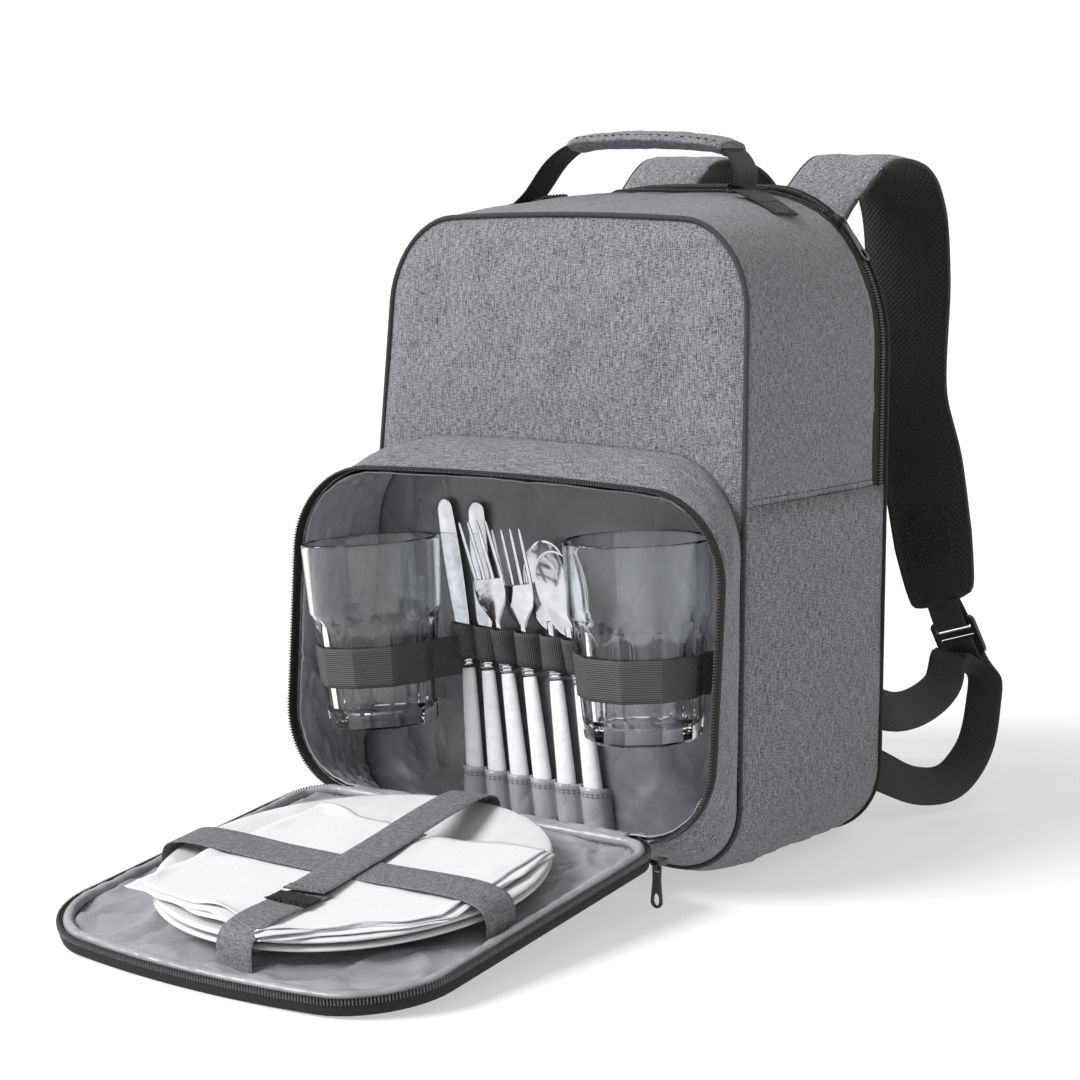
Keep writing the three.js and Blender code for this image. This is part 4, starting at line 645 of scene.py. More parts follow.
def wall_strip(name, index, depth, seed):
    """A stretch of the wall moved out along its normals: a full middle, soft ripples, and rucks at the
    corners."""
    points = wall_point(depth, 0.0, index)
    loop = wall_point(body_depth / 2)
    out = ring_normals(loop)[index][:, None]
    share = (depth - depth.min(1, keepdims=True)) / np.ptp(depth, axis=1, keepdims=True)
    along = np.linspace(0, 1, len(index))[:, None] * 900
    z = points[..., 2]
    corner = np.exp(-(((z - 24) / 26) ** 2)) * (np.abs(points[..., 0]) > 90)
    full = 2.2 * np.sin(np.pi * share) ** 0.7 - 1.0
    rucks = 1.6 * corner * ripples(along * 0.5, depth * 2.0, 16, seed + 1)
    swell = full + 0.8 * ripples(along * 0.6, depth, 44, seed) + rucks
    held = step(z, 1.5, 9.0)
    edge = np.minimum(step(share, 0, 0.12), step(1 - share, 0, 0.12))
    points = points + out * (swell * held * (0.25 + 0.75 * edge) * (z > 0.01))[..., None]
    points[..., 2] = np.maximum(points[..., 2], 0.05)
    uv = np.stack([depth, np.broadcast_to(along, depth.shape)], -1)
    return thicken(surface(name, points, uv, inside=middle_of_bag), wall_thickness - 0.6)


def zip_opening():
    """How far the zip stands open at each outline point: a parabola, widest at the middle of the
    stretch."""
    x, z = rounded_outline(*rear_shape)
    share = (x - zip_gap_centre) / zip_gap_half
    return np.where((z > side_seam) & (np.abs(share) < 1), zip_gap_width * (1 - share**2), 0)


gap = zip_opening()
lower_depth = np.tile(np.linspace(wall_start - 1.5, body_depth, 30), (len(under_base), 1))
wall_low = wall_strip("wall_lower", under_base, lower_depth, 11)
dress(wall_low, "heather_fabric", heather, "lower_gusset")
tape_edge = (teeth_depth - zip_tape_width - gap)[over_top]
share = np.linspace(0, 1, 30)
upper_depth = lerp(wall_start - 1.5, tape_edge[:, None] + 0.6, share)
wall_up = wall_strip("wall_upper", over_top, upper_depth, 21)
dress(wall_up, "heather_fabric", heather, "upper_gusset")

# %% [markdown]
# At each side seam the upper strip is folded under and sewn down with two rows of stitches. The thread is
# darker than the cloth, so the seam reads as two fine lines.

# %% Side seam stitches
near_seam = slice(seam_index - 8, seam_index + 8)
depth = np.linspace(wall_start + 3, body_depth - 10, 60)
share = depth / body_depth
full = 2.2 * np.sin(np.pi * share) ** 0.7 - 0.8
for name, sign in (("right", 1), ("left", -1)):
    for row, offset in (("upper", 4.0), ("lower", 0.6)):
        outlines = [rounded_outline(*shape) for shape in (front_shape, rear_shape)]
        ends = [np.interp(side_seam + offset, z[near_seam], x[near_seam]) for x, z in outlines]
        line = in_body(sign * (lerp(*ends, share) + full), depth, np.full(60, side_seam + offset))
        seam = stitches(f"side_seam_{row}_{name}", line, (sign, 0, 0), 2.6, 1.0, 0.35)
        dress(seam, "heather_fabric", thread_black)

# %% [markdown]
# A coil zip is two woven tapes with a nylon spiral along each edge. Closed, the two spirals mesh into one
# braid down the middle; open, each tape shows its own row. Each turn of the coil is a small bead across
# the tape.

# %% Zip over the top
tooth_shape = bead(((-0.85, 0.75), (0, 1.0), (0.85, 0.75)), 6)


def zip_coil(name, path, out, across, width, pitch=1.75, body="bag"):
    """Beads laid across a run, one for each turn of the coil."""
    centres, ways = evenly(path, pitch)
    picked = np.linspace(0, len(path) - 1, len(centres))
    places = np.arange(len(path))
    sides = (np.broadcast_to(way, path.shape) for way in (across, out))
    x, z = (unit(np.stack([np.interp(picked, places, c) for c in way.T], 1)) for way in sides)
    coil = repeated(name, tooth_shape, centres, x, ways, z, (width / 2, pitch * 0.38, 1.1))
    coil.data.polygons.foreach_set("use_smooth", np.ones(len(coil.data.polygons), bool))
    return dress(coil, "zip_tape", coil_black, body=body)


def tape_strip(name, low, high, node_name):
    """A woven tape between two depths along the outline."""
    depth = lerp(low[:, None], high[:, None], np.linspace(0, 1, 6))
    made = surface(name, wall_point(depth, 0.2, over_top), inside=middle_of_bag)
    return dress(thicken(made, 1.1), "zip_tape", tape_cloth, node_name)


opening = gap[over_top]
front_edge = teeth_depth - opening
rear_edge = teeth_depth + 0.6 + 0 * opening
tape_strip("tape_top_front", front_edge - zip_tape_width, front_edge, "top_zip_tape_front")
tape_strip("tape_top_rear", rear_edge, body_depth + 0 * opening, "top_zip_tape_rear")
out_top = ring_normals(wall_point(body_depth))[over_top]
shut = opening < 0.4
for name, run in (("right", np.flatnonzero(shut & (np.arange(len(over_top)) < 40))),
                  ("left", np.flatnonzero(shut & (np.arange(len(over_top)) > 40)))):
    line = wall_point(np.full((len(run), 1), teeth_depth + 0.3), -0.5, over_top[run])[:, 0]
    zip_coil(f"coil_shut_{name}", line, out_top[run], (0, 1, 0), 4.6)
run = np.flatnonzero(~shut)
for name, depth in (("front", front_edge - 0.4), ("rear", rear_edge + 0.6)):
    line = wall_point(depth[run][:, None], -0.4, over_top[run])[:, 0]
    zip_coil(f"coil_open_{name}", line, out_top[run], (0, 1, 0), 2.6)

# %% [markdown]
# The back of the bag rests against the wearer, so it is a thick pad covered with air mesh, with a bound
# edge. It is fullest in the middle, and two shallow channels let air through.

# %% Back panel
back_thickness, back_bulge = 9.0, 4.0


def back_panel():
    """Rings from the rim to the middle, standing behind the wall by the pad's thickness and bulge."""
    rim = wall_point(body_depth, 0.8)
    share = np.concatenate([np.linspace(0.03, 0.8, 30), np.linspace(0.83, 1, 12)])[:, None]
    x, z = share * rim[:, 0], lerp(rim[:, 2].mean(), rim[:, 2], share)
    level = np.clip(z / rear_height, 0, 1)
    bulge = back_bulge * np.clip(1 - (x / half_width) ** 2, 0, 1) * np.sin(np.pi * level)
    channel = 3.2 * (np.exp(-(((np.abs(x) - 42) / 7) ** 2))) * step(z, 40, 70) * step(rear_height - z, 50, 90)
    roll = back_thickness * (1 - np.sqrt(np.clip(1 - ((share - 0.86) / 0.14).clip(0, 1) ** 2, 0, 1)))
    depth = body_depth + clearance + back_thickness + bulge - channel - roll + 0.5 * ripples(x, z, 40, 31)
    uv = np.stack([x, z], -1)
    centre = in_body(0.0, body_depth + clearance + back_thickness + back_bulge, rim[:, 2].mean())
    flat = in_body(0.0, body_depth + clearance, rim[:, 2].mean())
    closing = in_body(rim[:, 0], body_depth + clearance, rim[:, 2])
    points = np.concatenate([in_body(x, depth, z), closing[None]])
    uv = np.concatenate([uv, np.stack([rim[:, 0], rim[:, 2]], -1)[None]])
    return surface("pad_back", points, np.concatenate([uv, uv[:, :1]], 1), True, (centre, flat))


back = dress(back_panel(), "back_mesh", mesh_black, "back_panel")
binding_thickness = 1.4
edge_line = wall_point(body_depth - 0.5, 0.6) + ring_normals(wall_point(body_depth)) * 0.6
edge_line[:, 2] = np.maximum(edge_line[:, 2], binding_thickness + 0.05)
binding = weld(tube("binding_back", edge_line, (0, 1, 0), binding_thickness, 10, closed=True))
dress(binding, "zip_tape", tape_cloth)

# %% [markdown]
# The front pocket is a deep band of the same cloth between the arched seam on the front panel and its
# mouth, which stands out a little further at its left. Cloth without much padding: it bellies out and
# ripples.

# %% Pocket wall
pocket_depth, mouth_skew, mouth_half, mouth_bottom, mouth_top = 50.0, 7.4, 152.0, 30.0, 231.0
mouth_radius, mouth_crown, arch_radius, pocket_wall = 50.0, 5.0, 54.0, 3.0
pocket_tape = 5.0
mouth_shape = (mouth_half, mouth_half, mouth_bottom, mouth_top, mouth_radius, mouth_radius, mouth_crown)
arch_half = lerp(half_width, top_half_width, arch_top / front_height)
arch_shape = (half_width, arch_half, 0, arch_top, base_radius, arch_radius, mouth_crown)


def mouth_reach(x):
    """How far the mouth's edge stands out from the front panel at x."""
    return pocket_depth - mouth_skew * x / mouth_half


def pocket_point(share, inset=0.0, back=0.0):
    """Loops of the pocket at shares of the way from the front panel (0) to the mouth (1)."""
    share = np.atleast_1d(share)[:, None]
    x0, z0 = rounded_outline(*arch_shape, inset=inset + 2)
    z0 = z0 + front_lift * np.maximum(0, 1 - z0 / (1.5 * base_radius))
    x1, z1 = rounded_outline(*mouth_shape, inset=inset)
    reach = lerp(clearance, mouth_reach(x1) - back, share)
    return in_body(lerp(x0, x1, share), -reach, lerp(z0, z1, share))


def pocket_wall_piece():
    """The pocket's loops pushed out by a belly that is fullest half way, and by ripples."""
    share = np.linspace(0, 1, 22)
    points = pocket_point(share, 0.0, pocket_tape + 0.1)
    out = ring_normals(points[-1])
    along = np.arange(outline_count) * 6.2
    belly = (2.6 * np.sin(np.pi * share) ** 0.8)[:, None] - 0.4
    ripple = ripples(along[None] * 0.7, share[:, None] * 50, 30, 41) * np.sin(np.pi * share)[:, None]
    points = points + out * (belly + 1.1 * ripple)[..., None]
    points[..., 2] = np.maximum(points[..., 2], 0.3)
    uv = np.stack(np.broadcast_arrays(share[:, None] * 50, np.append(along, outline_count * 6.2)), -1)
    return surface("wall_pocket", points, uv, ring=True, inside=(0, -100, 130))


wall_front = dress(thicken(pocket_wall_piece(), 2.2), "heather_fabric", heather, "pocket_gusset")
arch_line = pocket_point(0.035, -1.0)[0]
arch_seam = arch_line[(arch_line[:, 2] > 60)]
order = np.argsort(np.arctan2(arch_seam[:, 0], arch_seam[:, 2] - 120))
dress(stitches("arch_seam", arch_seam[order], (0, -1, 0), 2.8, 1.2, 0.3), "heather_fabric", thread_grey)

# %% [markdown]
# The mouth's zip tape stands forward like a rim, and its coil runs along the rim's front edge. It is open
# along the hinge, where the flap is sewn on.

# %% Pocket zip
hinge_index = corner_steps + round(corner_steps / 5)
round_mouth = np.arange(hinge_index, outline_count - hinge_index + 1)


def mouth_line(inset, back):
    """The mouth's edge at a distance inside it and behind it."""
    x, z = rounded_outline(*mouth_shape, inset=inset)
    return in_body(x, -mouth_reach(x) + back, z)


levels = np.linspace(0, 1, 7)
rows = [mouth_line(0.2 - 0.5 * np.sin(np.pi * t), lerp(pocket_tape + 0.6, 0.0, t)) for t in levels]
tape = surface("tape_mouth", np.stack(rows, 1)[round_mouth], inside=(0, -125, 130))
dress(thicken(tape, 2.0), "zip_tape", tape_cloth, "pocket_zip_tape")
mouth_out = ring_normals(mouth_line(0.0, 0.0))[round_mouth]
zip_coil("coil_mouth", mouth_line(0.9, -0.5)[round_mouth], mouth_out, (0, -1, 0), 2.8)

# %% [markdown]
# Inside, the film is only tacked at its edges. Along the walls it hangs in sharp creases that run from the
# corners towards the mouth; on the back it is pulled almost flat by the things that stand against it.

# %% Pocket lining
def lining_wall():
    """The pocket's loops inside the wall, pushed inwards by creases that fade at both edges."""
    share = np.linspace(0, 1, 40)
    points = pocket_point(share, pocket_wall + clearance + 1.0, pocket_tape)
    inward = -ring_normals(points[-1])
    along = np.arange(outline_count) * 6.2
    a, b = np.broadcast_arrays(along[None], share[:, None] * 50)
    fold = 4.4 * creases(a, b * 0.4, 30, 52) + 2.2 * creases(a + b, b - a * 0.3, 17, 57)
    fade = np.sqrt(np.sin(np.pi * np.clip(share, 0.01, 0.99)))[:, None]
    beside_glass = step(points[-1][:, 2], 120, 150) * (1 - step(points[-1][:, 2], 205, 222))
    free = 1 - 0.7 * beside_glass * (np.abs(points[-1][:, 0]) > 130)
    points = points + inward * (fold * fade * free)[..., None]
    return surface("lining_wall", points, ring=True, inside=(0, -100, 130))


film_wall = lining_wall()
film_wall.data.flip_normals()
dress(thicken(film_wall, 0.8), "lining", lining_film, "pocket_lining")


def lining_sheet():
    """Rings in the back plane; creases stand out only below the glasses and near the top."""
    rim = pocket_point(0.0, pocket_wall + clearance + 1.2)[0]
    share = np.linspace(0.02, 1, 50)[:, None]
    x, z = share * rim[:, 0], lerp(rim[:, 2].mean(), rim[:, 2], share)
    free = np.maximum(step(62 - z, 0, 20), step(z, 212, 228)) * step(1 - share, 0, 0.05)
    fold = free * (2.2 * creases(x, z * 0.5, 60, 61) + 1.0 * creases(x + z, z, 26, 63))
    depth = -(clearance + 1.0 + fold)
    centre = in_body(0.0, -1.3, rim[:, 2].mean())
    return sheet_of_rings("lining_sheet", in_body(x, depth, z), x, z, centre, middle_of_bag)


# The back wall takes the darker copy of the film, which is painted shade.
dress(thicken(lining_sheet(), 0.7), "lining", lining_back, "pocket_lining_back")

# %% [markdown]
# Things in the pocket stand in the pocket's own frame: Z up the leaning front panel and -Y out of it. A
# small frame is placed in it for each glass and each piece of cutlery, by its foot, its axis and its
# sideways direction.

# %% Frames inside the pocket
lean_turn = np.radians(-4.0)
c, s = np.cos(lean_turn), np.sin(lean_turn)
pocket_turn = np.array([[1, 0, 0], [0, c, -s], [0, s, c]])
lining_face = 2 * clearance + 1.0


def from_pocket(points):
    """Pocket coordinates turned into the row frame."""
    return points @ pocket_turn.T + (0, front, 0)


def standing(points, foot, top):
    """A thing drawn upright on Z, stood on its foot with its axis towards top, in the pocket."""
    z = unit(top - foot)
    x = unit(np.array([1.0, 0, 0]) - z * z[0])
    return from_pocket(foot + points @ np.stack([x, np.cross(z, x), z]))


def standing_grid(grid, foot, top):
    """The same for a grid of points."""
    return standing(grid.reshape(-1, 3), foot, top).reshape(grid.shape)


# %% [markdown]
# The glasses are picnic tumblers in clear acrylic: ten flat facets below, a round flared wall above, and a
# thick base. The inside is round, so the wall is thickest at the facets' edges, which is what bends the
# light.

# %% Glasses
glass_height, rim_radius, foot_radius, shoulder, glass_wall, glass_floor = 112.0, 42.0, 33.0, 0.6, 2.8, 8.0
facets = 10
glass_rows = {"left": (-0.597, -0.666, 0.303, 0.339), "right": (0.671, 0.638, 0.377, 0.33)}


def glass_radius(height):
    """Radius of the round glass at a height: a gentle taper, a step out at the shoulder, then the
    flare."""
    share = height / glass_height
    low = lerp(foot_radius, lerp(foot_radius, rim_radius, 0.55), share / shoulder)
    high = lerp(lerp(foot_radius, rim_radius, 0.82), rim_radius, (share - shoulder) / (1 - shoulder))
    return lerp(low, high, step(share, shoulder - 0.035, shoulder + 0.035))


def facet_factor(turn, sides=facets):
    """How far a regular polygon's edge lies from its centre, as a share of its corners' distance."""
    part = (turn % (2 * np.pi / sides)) - np.pi / sides
    return np.cos(np.pi / sides) / np.cos(part)


def tumbler():
    """Rows of the outer wall from the base up, over the rim, and down the inner wall to the floor."""
    turn = np.linspace(0, 2 * np.pi, 121)[:-1]
    height = np.concatenate([[1.4, 0.5, 0.0, 0.6, 2.0], np.linspace(4, glass_height - 1.5, 46)])
    inset = np.concatenate([[7.0, 3.4, 1.8, 0.5, 0.1], np.zeros(46)])
    arch = 3.5 * np.cos(facets * turn) + shoulder * glass_height - 3
    flat = 1 - step(height[:, None], arch - 4, arch + 2.5)
    outer = (glass_radius(height) - inset)[:, None] * lerp(1, facet_factor(turn), flat)
    rim_turn = np.linspace(0, np.pi, 7)[1:-1]
    rim = (rim_radius - glass_wall / 2) + glass_wall / 2 * np.cos(rim_turn)
    rim_height = glass_height - 1.5 + 1.5 * np.sin(rim_turn)
    inner_height = np.linspace(glass_height - 1.5, glass_floor + 5, 30)
    inner_height = np.append(inner_height, glass_floor + np.array([2.6, 0.9, 0.2]))
    inner = glass_radius(inner_height) - glass_wall - np.concatenate([np.zeros(30), [0.9, 3.0, 6.0]])
    radius = np.vstack([outer, np.tile(rim[:, None], len(turn)), np.tile(inner[:, None], len(turn))])
    up = np.concatenate([height, rim_height, inner_height])[:, None]
    return np.stack([radius * np.cos(turn), radius * np.sin(turn), np.broadcast_to(up, radius.shape)], -1)


def glass_ends(foot, rim, rise):
    """Foot and top of a glass's axis: it leans back on the lining with its widest part."""
    tilt = 1.4
    low = np.array([foot * mouth_half, -(lining_face + foot_radius + tilt + 1.2), rise * mouth_top])
    high = np.array([rim * mouth_half, -(lining_face + rim_radius + tilt), rise * mouth_top + glass_height])
    return low, high


for name, (foot, rim, rise, _) in glass_rows.items():
    low, high = glass_ends(foot, rim, rise)
    shape = tumbler()
    ends = np.array([[0, 0, 1.8], [0, 0, glass_floor]])
    caps = standing(ends, low, high)
    made = surface(f"tumbler_{name}", standing_grid(shape, low, high), ring=True, caps=caps)
    dress(made, "clear_plastic", acrylic, f"glass_{name}", crisp=14)

# %% [markdown]
# A corded elastic band holds each glass. Pulled tight over the facets it lies flat on each and bends at
# their edges, then runs back to the lining at both sides.

# %% Glass bands
elastic_width, elastic_thickness = 24.0, 1.2
for name, (foot, rim, rise, band) in glass_rows.items():
    low, high = glass_ends(foot, rim, rise)
    middle = band * glass_height
    past = np.radians(17)
    turn = np.linspace(np.pi - past, 2 * np.pi + past, 61)[:, None]
    height = middle + np.linspace(-0.5, 0.5, 9) * elastic_width
    radius = (glass_radius(height) + 0.25) * facet_factor(turn) + 1.3
    wrap = np.stack(np.broadcast_arrays(radius * np.cos(turn), radius * np.sin(turn), height[None]), -1)
    wall_share = (middle - elastic_width / 2) / glass_height
    wall_y = lerp(-low[1], -high[1], wall_share) - lining_face - 1.0
    arms = []
    for end in (wrap[0], wrap[-1]):
        x = end[:, 0] + np.sign(end[:, 0]) * np.tan(past) * (wall_y - end[:, 1]) * 0.9
        tied = np.stack([x, np.full(9, wall_y), end[:, 2]], 1)
        arms.append(np.stack([lerp(tied, end, t) for t in (0, 0.25, 0.5, 0.75)]))
    grid = standing_grid(np.concatenate([arms[0], wrap, arms[1][::-1]]), low, high)
    made = surface(f"band_glass_{name}", grid, inside=from_pocket((low + high) / 2))
    dress(thicken(made, 1.0), "elastic", elastic_dark, f"glass_band_{name}", crisp=25)

# %% [markdown]
# The cutlery has polished steel heads, ringed ferrules and smooth white handles. It stands in a fan, each
# piece leaning to the left, and the heads stagger so that they don't touch.

# %% Cutlery
cutlery_reach, ferrule_height, cutlery_foot, handle_out, neck_out = 207.0, 106.0, 22.0, 5.4, 5.2
cutlery = [
    ("knife_left", "knife", -0.26, -0.335, -0.515, 4, 1.0),
    ("knife_right", "knife", -0.14, -0.235, -0.345, 4, 1.0),
    ("fork_left", "fork", -0.02, -0.135, -0.225, 26, 0.955),
    ("fork_right", "fork", 0.095, -0.025, -0.1, 18, 0.94),
    ("spoon_left", "spoon", 0.21, 0.105, 0.025, 10, 0.91),
    ("spoon_right", "spoon", 0.34, 0.225, 0.135, 24, 0.89),
]


def stalk(z, wide, thick, sides=24, shift=0.0):
    """Elliptical sections stacked on Z, each pushed forward by shift."""
    turn = 2 * np.pi * np.arange(sides) / sides
    x = wide[:, None] * np.cos(turn)
    y = thick[:, None] * np.sin(turn) - np.broadcast_to(shift, len(z))[:, None]
    return np.stack(np.broadcast_arrays(x, y, z[:, None]), -1)


def steel_shank(kind, length):
    """The ringed ferrule and the slender neck, up to the head or along the whole blade."""
    z = np.linspace(0, 11, 41)
    rings = 4.5 + 0.5 * np.abs(np.sin(np.pi * z / 2.2))
    if kind == "knife":
        more = np.array([12, 14, 18, 24, 29])
        wide, thick = np.array([4.0, 2.9, 4.2, 5.6, 6.2]), np.array([3.0, 2.2, 1.1, 0.9, 0.8])
        up = np.linspace(34, length, 46)
        share = (up - 34) / (length - 34)
        blade = 6.4 + 1.3 * np.sin(np.pi * np.clip(share * 0.9, 0, 1)) - 1.0 * share
        blade = blade * np.sqrt(np.clip(1 - np.clip((share - 0.9) / 0.1, 0, 1) ** 2.2, 0.01, 1))
        more, wide = np.append(more, up), np.append(wide, blade)
        thick = np.append(thick, np.linspace(0.8, 0.5, 46))
    else:
        start = length * {"fork": 0.3, "spoon": 0.34}[kind]
        more = np.linspace(12, start + 6, 12)
        wide = np.interp(more, [12, 15, start + 6], [3.6, 2.4, 2.5])
        thick = np.interp(more, [12, 15, start, start + 6], [2.6, 1.9, 1.3, 0.8])
    return stalk(np.append(z, more), np.append(rings, wide), np.append(rings * 0.78, thick))


def forward_bend(share):
    """The side view of a head: a shallow dip backwards, then the end curves forwards, in millimetres."""
    return 2.4 * (share**2 - 0.9 * np.sin(np.pi * share) * (1 - share))


def fork_parts(length):
    """The palm, and four tines that taper to blunt points, as grids of sections."""
    width, root = 24.0, 0.42 * length
    z = np.linspace(0, root * 1.06, 26)
    share = z / length
    half = np.interp(z, [0, root * 0.2, root * 0.5, root * 0.75, root * 1.06], [2.3, 5.0, 10.4, 12.0, 12.0])
    shift = forward_bend(share) + 1.2 * np.sin(np.pi * np.clip(share / 0.5, 0, 1))
    palm = stalk(z, half, np.full(26, 0.85), 24, shift)
    tines = []
    for k in range(4):
        z = np.linspace(root * 0.98, length, 24)
        share = z / length
        taper = np.interp(share, [0.4, 0.9, 0.985, 1], [1.72, 1.15, 0.8, 0.25])
        tine = stalk(z, taper, np.full(24, 0.85) * np.minimum(1, taper), 10, forward_bend(share))
        tine[..., 0] += (k - 1.5) * width / 3.5
        tines.append(tine)
    return [palm, *tines]


def spoon_bowl(length):
    """An egg-shaped dish: rings from the middle of its inside, over the rim, to the middle of its
    outside."""
    turn = 2 * np.pi * np.arange(48) / 48
    rings = np.concatenate([np.linspace(0.04, 0.98, 16), [1.0], np.linspace(0.98, 0.04, 16)])[:, None]
    lower = (np.arange(33) > 16)[:, None]
    dip = 5.4 * (1 - rings**2.2) + np.where(lower, 1.1, 0.0) + np.where(rings == 1.0, 0.5, 0.0)
    x = rings * (1 + 0.18 * np.cos(turn)) * 16.5 * np.sin(turn)
    z = length * (0.5 + rings * np.cos(turn) * 0.5)
    return np.stack(np.broadcast_arrays(x, dip, z), -1)


def steel_piece(name, grids, foot, top, node_name):
    """Joins the closed grids of one steel head into a single object."""
    objects = []
    for k, grid in enumerate(grids):
        caps = standing(np.array([grid[0].mean(0), grid[-1].mean(0)]), foot, top)
        objects.append(surface(f"{name}_{k}", standing_grid(grid, foot, top), ring=True, caps=caps))
    with bpy.context.temp_override(active_object=objects[0], selected_editable_objects=objects):
        bpy.ops.object.join()
    objects[0].name = name
    return dress(objects[0], "cutlery_steel", steel, node_name)


def saw_edge(grid, length):
    """Cuts small teeth along one edge of a blade: a sawtooth 1.6 mm long on the points that lie furthest
    right."""
    z = grid[..., 2]
    teeth = 0.5 * ((z / 1.6) % 1) * (z > 40) * (z < length - 12)
    grid[..., 0] -= np.where(grid[..., 0] > 0, teeth, 0)
    return grid


for name, kind, foot, neck, tip, out, height in cutlery:
    neck_point = np.array([neck * mouth_half, -lining_face - neck_out, ferrule_height])
    foot_point = np.array([foot * mouth_half, -lining_face - handle_out, cutlery_foot])
    tip_point = np.array([tip * mouth_half, -lining_face - out, cutlery_reach * height])
    grip_length = np.linalg.norm(neck_point - foot_point) - clearance
    share = np.linspace(0, 1, 40)
    swell = np.interp(share, [0, 0.06, 0.3, 0.7, 0.96, 1], [0.72, 0.95, 1, 0.86, 0.76, 0.7])
    swell = swell * np.sqrt(np.clip(1 - np.clip(1 - share / 0.05, 0, 1) ** 2, 0.12, 1))
    grip = stalk(share * grip_length, 6.2 * swell, 6.2 * swell * 0.7, 28)
    caps = standing(np.array([[0, 0, 0], [0, 0, grip_length]]), foot_point, neck_point)
    made = surface(f"{name}_grip", standing_grid(grip, foot_point, neck_point), ring=True, caps=caps)
    dress(made, "cutlery_handle", handle_white, f"{name}_handle")
    way = unit(tip_point - neck_point)
    start = neck_point + way * 4 * clearance
    length = np.linalg.norm(tip_point - neck_point) - 4 * clearance
    grids = [steel_shank(kind, length)]
    head = length * {"knife": 0, "fork": 0.7, "spoon": 0.66}[kind]
    if kind == "fork":
        grids += [g + (0, 0, length - head) for g in fork_parts(head)]
    if kind == "spoon":
        grids.append(spoon_bowl(head) + (0, 0, length - head))
    if name == "knife_right":
        grids[0] = saw_edge(grids[0], length)
    steel_piece(f"{name}_steel", grids, start, tip_point, f"{name}_metal")
print("cutlery", len(cutlery))

# %% [markdown]
# An elastic band sewn down between the pieces makes a loop round each, and a strip of film makes a small
# sleeve for each handle. Both are the same shape at two heights: a line that bulges over every piece.

# %% Cutlery holders
def scalloped(name, levels, thickness, rows=7):
    """Two bulging lines joined by straight rows. Each line rises over a piece as a flattened half wave."""
    lines = []
    for places, bulges, z in levels:
        edges = (places[1:] + places[:-1]) / 2
        edges = np.concatenate([[2 * places[0] - edges[0]], edges, [2 * places[-1] - edges[-1]]])
        share = np.linspace(0, 1, 15)[:-1]
        rise = np.clip(np.sin(np.pi * share), 0, 1) ** 0.42
        x = (edges[:-1, None] + (edges[1:] - edges[:-1])[:, None] * share).ravel()
        y = (-rise * bulges[:, None]).ravel()
        x, y = np.append(x, edges[-1]), np.append(y, 0)
        lines.append(np.stack([x, y - lining_face - clearance - thickness, np.full(len(x), z)], 1))
    grid = lerp(lines[0][None], lines[1][None], np.linspace(0, 1, rows)[:, None, None])
    return surface(name, from_pocket(grid.reshape(-1, 3)).reshape(grid.shape), inside=middle_of_bag), lines


def band_level(z):
    """Where the steel necks stand at a height, and how far the band bulges over them."""
    share = np.array([(z - ferrule_height) / (cutlery_reach * row[6] - ferrule_height) for row in cutlery])
    places = np.array([mouth_half * lerp(row[3], row[4], s) for row, s in zip(cutlery, share)])
    return places, np.array([lerp(neck_out, row[5], s) + 4.4 for row, s in zip(cutlery, share)]), z


def sleeve_level(z):
    """Where the handles stand at a height."""
    share = (z - cutlery_foot) / (ferrule_height - cutlery_foot)
    places = np.array([mouth_half * lerp(row[2], row[3], share) for row in cutlery])
    return places, np.full(6, handle_out + 6.0), z


band, _ = scalloped("band_cutlery", [band_level(112), band_level(132)], elastic_thickness)
dress(thicken(band, 1.0), "elastic", elastic_dark, "cutlery_band")
sleeve, hem = scalloped("sleeve_cutlery", [sleeve_level(23.0), sleeve_level(47.0)], 1.0, 12)
dress(thicken(sleeve, 0.7), "lining", lining_film, "cutlery_sleeve")
for row, drop in (("hem", 3.5), ("hem_low", 5.0)):
    low, high = hem
    line = lerp(high, low, drop / 24.0) + (0, -0.25, 0)
    dress(stitches(f"sleeve_{row}", from_pocket(line), (0, -1, 0), 2.2, 0.9, 0.35), "lining", thread_grey)

# %% [markdown]
# The flap lies open in its own frame, hinged along the pocket's lower edge and resting on its free edge.
# Local X runs across it, -Y away from the hinge and Z out of its inside.

# %% The flap's frame
flap_half, flap_length, flap_free_radius, flap_hinge_radius, flap_crown = 125.0, 252.0, 44.0, 25.0, 14.0
flap_panel_thickness, rim_drop, rim_rise, binding_radius = 3.8, 6.0, 3.0, 2.6
hinge_x, hinge_forward, hinge_height, tape_inset = 8.0, 10.0, 35.0, 1.6
flap_pitch = np.arcsin((hinge_height - rim_drop - 0.2) / flap_length)
flap_yaw = np.arctan2(mouth_skew, mouth_half)
c, s = np.cos(flap_pitch), np.sin(flap_pitch)
pitch = np.array([[1, 0, 0], [0, c, -s], [0, s, c]])
c, s = np.cos(flap_yaw), np.sin(flap_yaw)
flap_turn = np.array([[c, -s, 0], [s, c, 0], [0, 0, 1]]) @ pitch
flap_origin = np.array([hinge_x, front - pocket_depth + lean * mouth_bottom - hinge_forward, hinge_height])
flap_shape = (flap_half, flap_half - 1, 0, flap_length, flap_hinge_radius, flap_free_radius, flap_crown)
lining_top = -rim_drop + flap_panel_thickness + clearance + 1.0


def on_flap(x, height, along):
    """The row frame's point at a place across, over and along the flap."""
    local = np.stack(np.broadcast_arrays(x, -np.asarray(along, float), height), -1).astype(float)
    return local @ flap_turn.T + flap_origin


def flap_rings(inset, share):
    """Loops that shrink from the flap's edge towards its middle, as x and along."""
    x, along = rounded_outline(*flap_shape, inset=inset)
    share = np.asarray(share)[:, None]
    return share * x, lerp(along.mean(), along, share)


# %% [markdown]
# The flap is the same padded cloth outside and film inside. The film is a little too large for it, so it
# lies in soft folds where nothing presses on it, most of all in the corners. A film-covered cord binds its
# edge.

